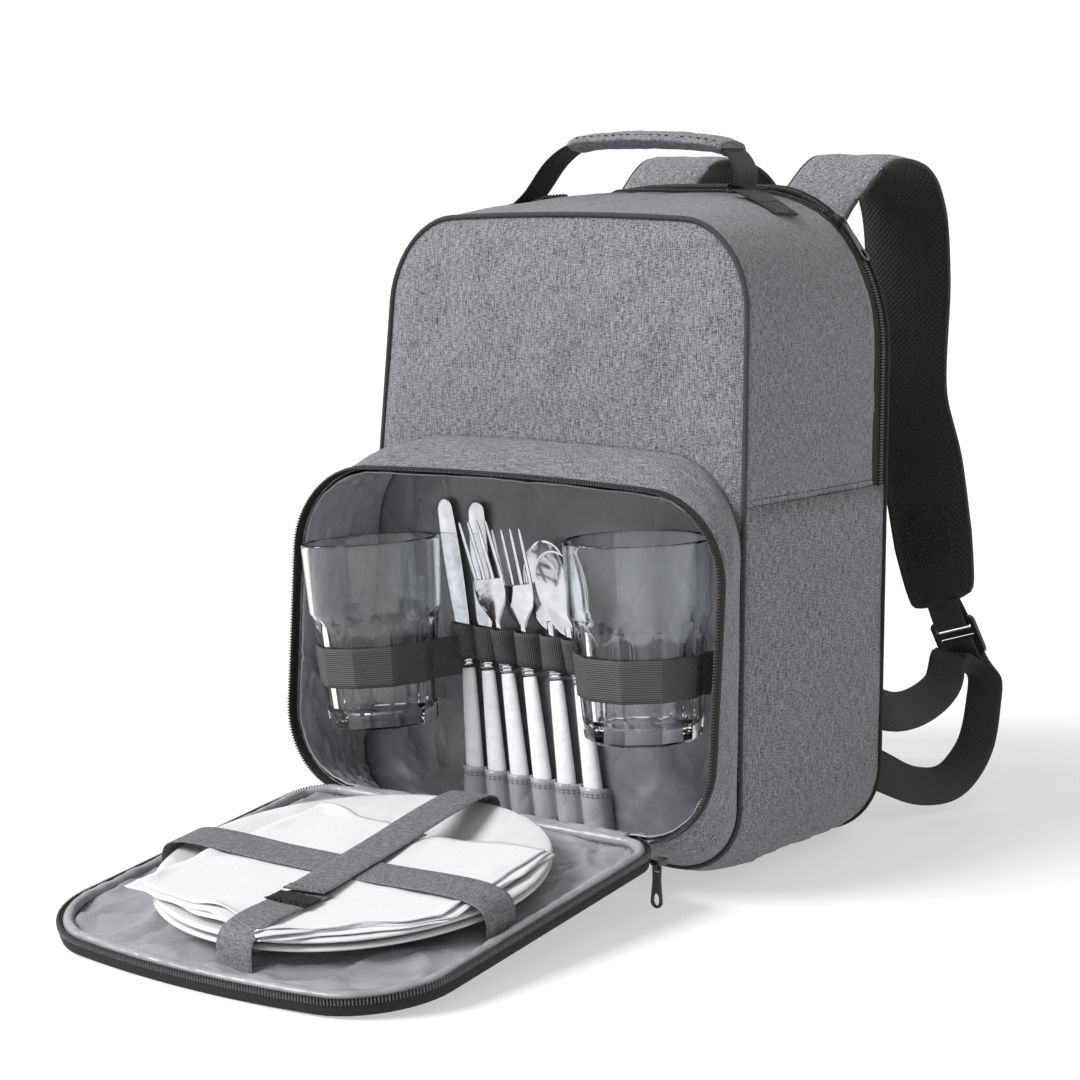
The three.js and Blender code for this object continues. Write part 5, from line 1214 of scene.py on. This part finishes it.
# %% Flap cloth, lining and binding
share = np.concatenate([np.linspace(0.03, 0.9, 26), np.linspace(0.93, 1, 7)])
x, along = flap_rings(tape_inset + 0.1, share)
belly = 1.2 * step(1 - share, 0.0, 0.08)[:, None] + 0.5 * ripples(x, along, 60, 71)
under = on_flap(x, -rim_drop + 1.6 - belly.clip(0, 1.7), along)
centre = on_flap(0.0, -rim_drop + 0.2, along[-1].mean())
cloth = sheet_of_rings("flap_cloth", under, x, along, centre, on_flap(0, 60, 120))
dress(thicken(cloth, 2.4), "heather_fabric", heather, "flap_panel")

share = np.linspace(0.02, 1, 70)
x, along = flap_rings(tape_inset + clearance + 1.2, share)
from_plates = np.hypot(x - 3.5, along - 121.5)
clear = step(from_plates, 70, 112) * step(1 - share, 0.0, 0.05)[:, None]
fold = 4.2 * creases(x, along * 0.8, 44, 83) + 2.2 * creases(x - along, along, 24, 88)
fold = fold + 0.7 * (1 + ripples(x, along, 80, 85))
height = lining_top - 0.2 + 0.75 * fold * clear
centre = on_flap(0.0, lining_top - 0.2, along[-1].mean())
film_flap = sheet_of_rings("flap_film", on_flap(x, height, along), x, along, centre, on_flap(0, -90, 120))
dress(thicken(film_flap, 0.8), "lining", lining_film, "flap_lining")

binding_height = lining_top + clearance + binding_radius
x, along = rounded_outline(*flap_shape, inset=tape_inset + clearance + binding_radius + 0.3)
line = on_flap(x, np.full(len(x), binding_height), along)
points, _ = evenly(line, 1.6, closed=True)
run = np.arange(len(points)) * 1.6
pucker = 1 + 0.10 * ripples(run, 0 * run, 9, 91) + 0.08 * ripples(run, 0 * run, 23, 92)
cord = weld(tube("flap_cord", points, flap_turn[:, 2], (binding_radius + 0.3) * pucker, 14, closed=True))
dress(cord, "lining", lining_film, "flap_binding")
x, along = rounded_outline(*flap_shape, inset=tape_inset + 2 * binding_radius + 2.4)
line = on_flap(x, np.full(len(x), lining_top + 1.3), along)
dress(stitches("flap_stitches", line, flap_turn[:, 2], 2.6, 1.4, 0.4, closed=True), "lining", thread_grey)

# %% [markdown]
# The flap's half of the zip stands round its rim as a black band, with the coil on its upper edge. Towards
# the hinge it stops where the hinge strip starts. The strip is film folded over a soft core.

# %% Flap zip and hinge
round_flap = np.arange(hinge_index, outline_count - hinge_index + 1)
levels = np.linspace(-rim_drop, rim_rise, 8)
rows = []
for level in levels:
    bow = 0.9 * np.sin(np.pi * (level + rim_drop) / (rim_rise + rim_drop))
    x, along = rounded_outline(*flap_shape, inset=0.4 - bow)
    rows.append(on_flap(x, np.full(len(x), level), along)[round_flap])
tape = surface("tape_flap", np.stack(rows, 1), inside=on_flap(0, 0, 120))
dress(thicken(tape, 1.4), "zip_tape", tape_cloth, "flap_zip_tape")
x, along = rounded_outline(*flap_shape, inset=-0.5)
line = on_flap(x, np.full(len(x), rim_rise - 1.1), along)[round_flap]
x, along = rounded_outline(*flap_shape, inset=-4.5)
outward = unit(on_flap(x, np.full(len(x), rim_rise - 1.1), along)[round_flap] - line)
zip_coil("coil_flap", line, outward, flap_turn[:, 2], 4.2)

hinge_half = mouth_half - mouth_radius - 4
x = np.linspace(-hinge_half, hinge_half, 60)[:, None]
share = np.linspace(0, 1, 16)
rear_height_of_strip = np.full(60, mouth_bottom + pocket_wall + clearance + 1.2)
rear = in_body(x[:, 0], pocket_tape - mouth_reach(x[:, 0]) - clearance, rear_height_of_strip)
ahead = on_flap(x[:, 0], lining_top - 0.8, tape_inset + 0.6)
strip = rear[:, None] + (ahead - rear)[:, None] * share[:, None]
arch = 3.6 * np.sin(np.pi * share) * (1 + 0.22 * ripples(x, share * 18 + 0 * x, 22, 95))
strip[..., 2] += arch
hinge = surface("hinge_strip", strip, inside=(0, -130, -200))
dress(thicken(hinge, 1.2), "lining", lining_film, "flap_hinge")

# %% [markdown]
# Two melamine plates lie on the flap, one in the other. A plate is a profile turned round its axis: a flat
# middle, a curved wall and a rolled rim.

# %% Plates
plate_radius, plate_height, plate_stack, plate_x, plate_along = 107.0, 11.5, 4.6, 3.5, 121.5
profile = np.array([
    (0.02, 1.5), (0.3, 1.5), (0.55, 1.5), (0.585, 1.3), (0.6, 0.2), (0.63, 0.1), (0.66, 0.5), (0.75, 2.6),
    (0.86, 6.3), (0.93, 8.3), (0.975, 9.1), (0.995, 9.8), (1.0, 10.7), (0.992, 11.3), (0.975, 11.5),
    (0.955, 11.3), (0.9, 10.0), (0.84, 8.3), (0.78, 6.6), (0.71, 4.7), (0.66, 3.8), (0.62, 3.5),
    (0.4, 3.4), (0.02, 3.4),
])
profile[:, 1] *= plate_height / 11.5
foot = lining_top + clearance
for name, level, shift in (("lower", 0.0, 0.0), ("upper", plate_stack, 0.5)):
    turn = np.linspace(0, 2 * np.pi, 97)[:-1]
    radius = (profile[:, :1] * plate_radius)
    height = foot + level + profile[:, 1:] + 0 * turn
    points = on_flap(plate_x + shift + radius * np.cos(turn), height, plate_along + radius * np.sin(turn))
    caps = on_flap(np.full(2, plate_x + shift), foot + level + profile[[0, -1], 1], np.full(2, plate_along))
    dress(surface(f"dish_{name}", points, ring=True, caps=caps), "plate", melamine, f"plate_{name}")

# %% [markdown]
# Two cotton napkins lie folded on the plates. A folded napkin is one sheet: it runs across, turns back on
# itself and runs back, four times, so its edge shows the rounded folds. Each layer lies a little askew on
# the last.

# %% Napkins
rim_top = foot + plate_stack + plate_height
napkin_low = rim_top + clearance


def folded(name, corners, layers, pitch, seed, curl):
    """A sheet folded in an accordion. Its layers fill a four-cornered shape whose corners drift a little
    from layer to layer; the turns between layers are half circles."""
    random = np.random.default_rng(seed)
    flat, bend = 40, 6
    rows = []
    corners = np.asarray(corners, float) * plate_radius
    length = np.linspace(0, 1, 44)
    for k in range(layers):
        drift = corners + random.uniform(-5.5, 5.5, (4, 2)) * (1 if k else 0.3)
        across = np.linspace(0, 1, flat)
        across = across if k % 2 == 0 else across[::-1]
        a, b = across[:, None], length[None]
        low = lerp(drift[0], drift[1], a[..., None])
        high = lerp(drift[3], drift[2], a[..., None])
        place = lerp(low, high, b[..., None])
        x, y = place[..., 0], place[..., 1]
        wavy = place + 1.9 * np.stack([ripples(x, y, 34, seed + k), ripples(y, x, 34, seed + k + 9)], -1)
        loose = (k + 1) / layers
        from_edge = np.minimum(np.minimum(a, 1 - a), np.minimum(b, 1 - b))
        edge = 1 - step(from_edge, 0, 0.1)
        lift = pitch * (k + 0.5) + 0.45 * ripples(x, y, 40, seed + 20) * loose
        lift = lift + curl * loose * edge * ripples(x, y, 60, seed + 5)
        rows.append(np.concatenate([wavy, np.maximum(lift, pitch * (k + 0.4))[..., None]], -1))
    grid = []
    for k, layer in enumerate(rows):
        grid.append(layer)
        if k < layers - 1:
            end, start = layer[-1], rows[k + 1][0]
            turn = np.linspace(0, np.pi, bend + 2)[1:-1, None, None]
            way = unit(np.append(layer[-1, 22, :2] - layer[-4, 22, :2], 0))
            half = (start - end) / 2
            grid.append(end + half * (1 - np.cos(turn)) + way * pitch * 0.6 * np.sin(turn))
    grid = np.concatenate(grid)
    points = on_flap(plate_x + grid[..., 0], napkin_low + grid[..., 2], plate_along - grid[..., 1])
    made = thicken(surface(name, points, inside=on_flap(0, -4000, 120)), 0.4)
    made.modifiers["wall"].offset = 0
    area = sum(face.area for face in made.data.polygons)
    return made, area


napkin_rows = {
    "left": ([(-0.66, 0.5), (0.12, 0.4), (0.18, -0.95), (-0.72, -0.78)], 4, 0.95, 101, 2.4),
    "right": ([(0.2, 0.34), (0.86, 0.47), (0.93, -0.42), (0.27, -1.0)], 6, 0.64, 131, 2.0),
}
for name, row in napkin_rows.items():
    made, area = folded(f"serviette_{name}", *row)
    dress(made, "napkin", cotton, f"napkin_{name}")
    print("napkin", name, "cloth area", round(area, 4), "of", 0.24 * 0.24)

# %% [markdown]
# Mélange elastic straps cross over the plates. Each is a flat strap whose path lies on the napkins, turns
# down over the plates' rim and ends on the lining. The rear strap ends on a patch of hook tape on the
# front strap.

# %% Plate straps
strap_width, strap_thickness = 25.0, 1.0
first_strap = napkin_low + 4 + clearance + strap_thickness / 2
second_strap = first_strap + strap_thickness + clearance
strap_low = lining_top + 2 * clearance + strap_thickness / 2
outside, over, ease = plate_radius + 2.6, 0.935 * plate_radius, 3.0
cross_along = plate_along + 0.168 * plate_radius
meet = plate_along + 0.561 * plate_radius


def across(share):
    """A place on the flap at a share of the strap's width to the right of the plates' middle."""
    return plate_x + share * strap_width


strap_rows = {
    "cross": [
        (plate_x - outside - ease, cross_along, strap_low), (plate_x - outside, cross_along, rim_top),
        (plate_x - over, cross_along, first_strap), (plate_x - 30, cross_along, first_strap + 0.1),
        (plate_x + 30, cross_along, first_strap + 0.1), (plate_x + over, cross_along, first_strap),
        (plate_x + outside, cross_along, rim_top), (plate_x + outside + ease / 2, cross_along, strap_low),
    ],
    "rear": [
        (across(0.16), plate_along - outside - ease / 6, strap_low),
        (across(0.2), plate_along - outside, rim_top),
        (across(0.24), plate_along - over, second_strap), (across(0.48), plate_along, second_strap + 0.3),
        (across(0.66), meet - 10, second_strap + 0.8), (across(0.72), meet, second_strap + 2.0),
    ],
    "front": [
        (across(0.76), meet - strap_width / 3, first_strap), (across(0.64), plate_along + over, first_strap),
        (across(0.6), plate_along + outside, rim_top), (across(0.6), plate_along + outside + ease, strap_low),
    ],
}
for name, rows in strap_rows.items():
    local = smooth_path(rows, 10)
    path = on_flap(local[:, 0], local[:, 2], local[:, 1])
    run = path[-1] - path[0]
    side = np.cross(flap_turn[:, 2], run)
    made = strap(f"elastic_{name}", path, np.broadcast_to(side, path.shape), strap_width, strap_thickness)
    dress(made, "elastic", heather_elastic, f"plate_strap_{name}", crisp=50)
hem_x = across(0.7) + np.linspace(-0.5, 0.5, 12) * (strap_width - 2)
hem_line = on_flap(hem_x, np.full(12, second_strap + 2.0), np.full(12, meet - 4.0))
dress(stitches("elastic_hem", hem_line, flap_turn[:, 2], 2.2, 0.8, 0.4), "elastic", thread_black)


def hook_patch():
    """A small pad whose surface stands up in seeded tufts, more so along its frayed front edge."""
    half_x, half_y = strap_width / 2 + 1, 6.0
    a, b = np.meshgrid(np.linspace(-1, 1, 70), np.linspace(-1, 1, 26), indexing="ij")
    tuft = np.random.default_rng(17).uniform(0, 1, a.shape)
    fray = 1 + 0.16 * (tuft - 0.5) * (np.abs(b) > 0.8)
    height = 0.9 + 0.9 * tuft * np.where(b > 0.4, 1.6, 1.0)
    centre_x, centre_along = across(0.72), meet + strap_width / 3
    points = on_flap(centre_x + a * half_x, first_strap + 0.6 + height, centre_along + b * half_y * fray)
    return surface("hook_pad", points, inside=on_flap(0, -4000, 120))


dress(thicken(hook_patch(), 0.8), "webbing", hook_black, "hook_patch")

# %% [markdown]
# The handle is one length of webbing: sewn flat on the top at both roots, rising, and running through a
# padded sleeve of the shell's cloth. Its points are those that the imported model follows.

# %% Handle
webbing_width, webbing_thickness = 25.0, 1.6
handle_depth, root_x, handle_height = body_depth * 0.58, 97.0, rear_height + 33.0
grip_half, grip_width, grip_thickness = 57.0, 31.0, 11.0
per = 8


def top_point(x, depth, lift=0.0):
    """A point of the wall over the top at x, lifted along the wall's normal."""
    loop = wall_point(np.full((outline_count, 1), float(depth)))[:, 0][over_top][::-1]
    at = lambda place: np.interp(place, loop[:, 0], loop[:, 2])
    slope = unit(np.array([2.0, 0.0, at(x + 1) - at(x - 1)]))
    return in_body(x, depth, at(x)) + lift * np.array([-slope[2], 0, slope[0]])


def sewn(x, dx=0.0, dz=0.0):
    """A row of the handle where it is sewn down: its place and its width's direction."""
    at = top_point(x, handle_depth, clearance + 1.5 * webbing_thickness) + (dx, 0, dz)
    return at, top_point(x, handle_depth + 12.5) - top_point(x, handle_depth - 12.5)


grip_y = sewn(0.0)[0][1] + 3


def free(x, z):
    """A row of the handle in the air, level from front to back."""
    return np.array([x, grip_y, z]), np.array([0, webbing_width, 0.0])


grip_end = handle_height - grip_thickness
handle_rows = [
    sewn(-root_x + 24), sewn(-root_x + 8), sewn(-root_x - 4, 0, 4),
    free(-root_x + 4, handle_height - 38), free(-grip_half - 18, handle_height - 18),
    free(-grip_half, grip_end + 3), free(-grip_half / 2, handle_height - 5.5),
    free(0, handle_height - grip_thickness / 2), free(grip_half / 2, handle_height - 7),
    free(grip_half, grip_end - 1), free(grip_half + 10, handle_height - 25),
    free(grip_half + 9, handle_height - 36), sewn(root_x - 23, -3, 3), sewn(root_x - 12), sewn(root_x),
]
path = smooth_path([at for at, _ in handle_rows], per)
sideways = per_row([way for _, way in handle_rows], per)
made = strap("webbing_handle", path, sideways, webbing_width, webbing_thickness)
dress(made, "webbing", webbing_black, "handle_webbing", crisp=50)

grip_path = path[5 * per : 9 * per + 1]
share = np.linspace(-1, 1, len(grip_path))
swell = 1 - 0.12 * share**2
turn = 2 * np.pi * np.arange(40) / 40
flange = 1 + 0.10 * np.exp(-((np.sin(turn) / 0.25) ** 2))
along = np.arange(len(grip_path)) * 3.6
pucker = 1 + 0.05 * ripples(along[:, None], turn * 8, 14, 151)
pucker = pucker + 0.03 * np.sin(along[:, None] * 1.3) * np.abs(np.cos(turn)) ** 6
ways = tangents(grip_path)
side = unit(np.array([0, 1.0, 0]) - ways * ways[:, 1:2])
normal = np.cross(ways, side)
wide = (grip_width / 2 * swell)[:, None] * np.cos(turn) * flange * pucker
thick = (grip_thickness / 2 * swell)[:, None] * np.sin(turn) * pucker
points = grip_path[:, None] + side[:, None] * wide[..., None] + normal[:, None] * thick[..., None]
grip = surface("sleeve_handle", points, ring=True, caps=(grip_path[0], grip_path[-1]))
dress(grip, "heather_fabric", heather, "handle_grip")
for name, sign in (("front", -1), ("rear", 1)):
    line = grip_path + side * sign * (grip_width / 2 * swell * 0.86)[:, None] + normal * 2.9
    seam = stitches(f"sleeve_seam_{name}", line[2:-2], (0, 0, 1), 3.0, 2.2, 0.5)
    dress(seam, "heather_fabric", thread_black)
for name, rows in (("right", (13.0, 14.0)), ("left", (1.0, 0.0))):
    ends = [path[int(row * per)] for row in rows]
    ways = [unit(sideways[int(row * per)]) for row in rows]
    box = [ends[i] + side * 9 * ways[i] for i, side in ((0, 1), (1, 1), (1, -1), (0, -1))]
    corners, cross = [*box, box[0]], [box[3], box[1]]
    out = np.array([np.sign(ends[0][0]) * 0.25, 0, 1.0])
    for k, run in enumerate((corners, cross)):
        line = np.concatenate([np.linspace(a, b, 8)[:-1] for a, b in zip(run[:-1], run[1:])]) + unit(out)
        dress(stitches(f"handle_tack_{name}_{k}", line, out, 2.0, 1.0, 0.4), "webbing", thread_black)

# %% [markdown]
# Each shoulder strap is a foam pad, cloth outside and air mesh inside, that rises from the top of the
# back, turns over and hangs down behind. It is a lens-shaped section carried along a curve, with a cord
# sewn round its edge.

# %% Shoulder pads
pad_width, pad_thickness, strap_reach, pad_top = 60.0, 9.0, 100.0, 411.0
pad_route = np.array([
    (0.43, 0.054, 0.905, 0.86), (0.45, 0.2, 0.955, 0.93), (0.52, 0.38, 0.998, 1.0), (0.57, 0.68, 0.985, 1.0),
    (0.575, 0.88, 0.93, 1.0), (0.585, 0.97, 0.82, 1.0), (0.6, 0.99, 0.63, 0.98), (0.71, 0.97, 0.52, 0.95),
    (0.8, 0.93, 0.41, 0.9), (0.87, 0.88, 0.34, 0.76), (0.895, 0.86, 0.318, 0.66),
])
left_slump = np.array([0, 0.02, 0.14, 0.27, 0.33, 0.33, 0.25, 0.14, 0.05, 0, 0])
pads = {}


def back_face(z):
    """How far back the back panel's face lies at a height."""
    return front + body_depth + clearance + back_thickness + lean * z


for name, sign in (("right", 1), ("left", -1)):
    slump = left_slump if sign < 0 else 0
    z = pad_top * pad_route[:, 2]
    x, y = sign * half_width * (pad_route[:, 0] - slump), back_face(z) + strap_reach * pad_route[:, 1]
    chosen = np.stack([x, y, z], 1)
    path = smooth_path(chosen, 10)
    half = pad_width / 2 * per_row(pad_route[:, 3], 10)[:, 0]
    place = np.linspace(0, 1, len(path))
    half = half * np.sqrt(np.clip(1 - np.clip((place - 0.96) / 0.04, 0, 1) ** 2.4, 0.12, 1))
    along = tangents(path)
    side = unit(np.array([1.0, 0, 0]) - along * along[:, :1])
    normal = np.cross(along, side)
    u = np.cos(np.linspace(0, np.pi, 19))
    u = np.concatenate([u, u[-2:0:-1]])
    face = np.concatenate([np.full(19, 1.0), np.full(17, -1.0)])
    length = np.concatenate([[0], np.cumsum(np.linalg.norm(np.diff(path, axis=0), axis=1))])
    crown = (1 - np.abs(u) ** 4) ** 0.6
    wrinkle = 1 + 0.10 * ripples(length[:, None], u * 30 + 40 * face, 26, 161 + sign)
    rise = face * pad_thickness / 2 * crown * wrinkle
    points = path[:, None] + side[:, None] * (half[:, None] * u)[..., None]
    points = points + normal[:, None] * rise[..., None]
    across_uv = np.concatenate([u * 30, u[:1] * 30])
    uv = np.stack(np.broadcast_arrays(across_uv[None], length[:, None]), -1)
    which = np.tile((face < 0).astype(int), (len(path) - 1, 1))
    pad = surface(f"pad_{name}", points, uv, True, (path[0], path[-1]), which=which)
    dress(pad, "heather_fabric", [mesh_black, heather], f"shoulder_pad_{name}")
    rim = np.concatenate([path + side * half[:, None], (path - side * half[:, None])[::-1]])
    edge, _ = evenly(rim, 3.0)
    cord = tube(f"pad_cord_{name}", edge, (0.37, 0.61, 0.7), 1.35, 8)
    dress(cord, "piping", piping_cloth)
    pads[name] = (path, along, side, normal, half)
    spot = int(0.8 * len(path))
    corners = [(spot - 4, 0.55), (spot - 4, -0.55), (spot + 4, -0.55), (spot + 4, 0.55)]
    box = [path[i] + side[i] * half[i] * t + normal[i] * (pad_thickness / 2 + 0.2) for i, t in corners]
    for k, run in enumerate(((0, 1, 2, 3, 0, 2), (1, 3))):
        line = np.concatenate([np.linspace(box[a], box[b], 10)[:-1] for a, b in zip(run[:-1], run[1:])])
        dress(stitches(f"pad_tack_{name}_{k}", line, normal[spot], 2.4, 1.0, 0.6), "webbing", thread_black)

# %% [markdown]
# From the pad's end hangs a plastic ladder lock. The webbing starts at the bag's lower corner, twists as
# it rises to the lock, passes through its slots and hangs down again as a tail, which is sewn in lower
# down.

# %% Locks and strap webbing
lock_height, lock_thickness, lock_bar, slot_middle = 27.0, 3.0, 3.0, -1.0
strap_webbing_thickness, loop_length = 1.5, 12.0
loop_bottom = lock_height / 2 - lock_bar - 0.8
anchor_route = np.array([
    (0.8, 0.023, 0.37, 90), (0.87, 0.06, 0.352, 85), (0.93, 0.2, 0.33, 75), (0.96, 0.45, 0.335, 55),
    (0.965, 0.72, 0.38, 25), (0.955, 0.83, 0.46, 5),
])
tail_route = np.array([
    (1.02, 1.13, 0.37, 0), (1.03, 1.11, 0.3, 5), (1.03, 1.02, 0.17, 20), (1.0, 0.8, 0.085, 50),
    (0.95, 0.5, 0.09, 70), (0.89, 0.2, 0.15, 85), (0.84, 0.05, 0.19, 90), (0.79, 0.022, 0.2, 90),
])
for name, sign in (("right", 1), ("left", -1)):
    pad_path, pad_along = pads[name][:2]
    down = unit(np.array([sign * 0.35, 0.25, -1.0]))
    hang = loop_bottom + loop_length + strap_webbing_thickness + 2.1
    origin = pad_path[-1] + pad_along[-1] * clearance + down * hang
    up = -down
    lock_x = unit(np.array([1.0, 0, 0]) - up * up[0])
    lock_y = np.cross(up, lock_x)
    face = lock_thickness / 2 + strap_webbing_thickness / 2 + 0.8

    def in_lock(y, z):
        return origin + lock_y * y + up * z

    def routed(table):
        """Rows of the webbing: places from the shares, and the width's direction from the twist."""
        z = side_seam * table[:, 2]
        at = np.stack([sign * half_width * table[:, 0], back_face(z) + strap_reach * table[:, 1], z], 1)
        twist = np.radians(table[:, 3])
        return at, np.stack([np.cos(twist), 0 * twist, -sign * np.sin(twist)], 1)

    start, start_ways = routed(anchor_route)
    end, end_ways = routed(tail_route)
    through = np.array([
        in_lock(-face, -lock_height / 2 - 4), in_lock(-face, slot_middle - 3),
        in_lock(-face * 0.55, slot_middle + 0.2), in_lock(0, slot_middle + 0.9),
        in_lock(face * 0.55, slot_middle + 0.2), in_lock(face, slot_middle - 3),
        in_lock(face + 1.4, -lock_height / 2 - 5),
    ])
    path = smooth_path(np.concatenate([start, through, end]), per)
    ways = per_row(np.concatenate([start_ways, np.tile(lock_x, (7, 1)), end_ways]), per)
    made = strap(f"webbing_{name}", path, ways, webbing_width, strap_webbing_thickness)
    dress(made, "webbing", webbing_black, f"strap_webbing_{name}", crisp=50)
    half_ring = [(1.2, 17.0), (2.6, 6.0), (2.9, 0.6), (2.2, -1.6)]
    ring = [*half_ring, (0, -2.3), *((-y, z) for y, z in half_ring[::-1])]
    loop = smooth_path([in_lock(y, loop_bottom + z) for y, z in ring], 4)
    made = strap(f"loop_{name}", loop, np.broadcast_to(lock_x, loop.shape), webbing_width - 1, 1.3)
    dress(made, "webbing", webbing_black, f"lock_loop_{name}", crisp=50)

# %% [markdown]
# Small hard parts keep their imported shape, but a moulded or cast part has no knife edges. A copy of each
# node is merged, its flat faces are joined, and a bevel rounds its edges.

# %% Sliders, pulls and locks
hard_parts = {
    **{f"top_zip_slider_{side}": ("bag", 0.5, enamel_black, "zip_metal") for side in ("right", "left")},
    "pocket_zip_slider": ("bag", 0.5, enamel_black, "zip_metal"),
    "top_zip_pull_right": ("top_pull_right", 0.25, enamel_black, "zip_metal"),
    "top_zip_pull_left": ("top_pull_left", 0.25, enamel_black, "zip_metal"),
    "pocket_zip_pull": ("pocket_pull", 0.25, enamel_black, "zip_metal"),
    **{f"strap_lock_{side}": ("bag", 0.6, acetal_black, "strap_plastic") for side in ("right", "left")},
}
for name, (body, radius, finish, slot) in hard_parts.items():
    work = bmesh.new()
    work.from_mesh(nodes[name].data)
    bmesh.ops.remove_doubles(work, verts=work.verts, dist=0.02 * MM)
    bmesh.ops.dissolve_limit(work, angle_limit=np.radians(1), verts=work.verts, edges=work.edges)
    mesh = bpy.data.meshes.new(f"{name}_soft")
    work.to_mesh(mesh)
    work.free()
    mesh.polygons.foreach_set("use_smooth", np.ones(len(mesh.polygons), bool))
    made = linked(f"{name}_soft", mesh)
    edge = made.modifiers.new("edge", "BEVEL")
    edge.width, edge.segments, edge.limit_method, edge.angle_limit = radius * MM, 3, "ANGLE", np.radians(35)
    made.data.set_sharp_from_angle(angle=np.radians(40))
    dress(made, slot, finish, name, body=body)

# %% [markdown]
# A white floor and a white backdrop give the plain studio ground. One wide soft sun from the front left
# makes the front bright and the right side a tone darker, and the pale surround fills the shadows. The
# backdrop is seen and mirrored, but it lights no matt surface and casts no shadow.

# %% Stage and lights
def flat_colour(name, points, faces, base, glow):
    """A stage piece in one colour, with a glow that evens it out to white."""
    mesh = bpy.data.meshes.new(name)
    mesh.from_pydata(points, [], faces)
    made = linked(name, mesh)
    finish, _, shader = material(name, Base_Color=colour(base), Roughness=0.9, Emission_Strength=glow)
    shader.inputs["Emission Color"].default_value = colour("ffffff")
    made.data.materials.append(finish)
    return made


reach = 40.0
square = [(x * reach, y * reach, -0.0002) for x, y in ((-1, -1), (1, -1), (1, 1), (-1, 1))]
flat_colour("white_floor", square, [(0, 1, 2, 3)], "c6c6c8", 0.45)
room = [(x, y, z) for z in (-1.0, 20.0) for x, y, _ in square]
sides = [(0, 1, 5, 4), (1, 2, 6, 5), (2, 3, 7, 6), (3, 0, 4, 7), (4, 5, 6, 7)]
backdrop = flat_colour("white_backdrop", room, sides, "000000", 1.0)
backdrop.visible_diffuse = False
backdrop.visible_shadow = False

world = bpy.data.worlds.new("surround")
world.use_nodes = True
world.node_tree.nodes["Background"].inputs[0].default_value = colour("ffffff")
world.node_tree.nodes["Background"].inputs[1].default_value = 0.42
bpy.context.scene.world = world
bpy.context.scene.view_settings.view_transform = "Standard"
key = bpy.data.lights.new("key", "SUN")
key.energy, key.angle = 3.5, np.radians(30)
linked("key", key).rotation_euler = (np.radians(50), 0, np.radians(-35))
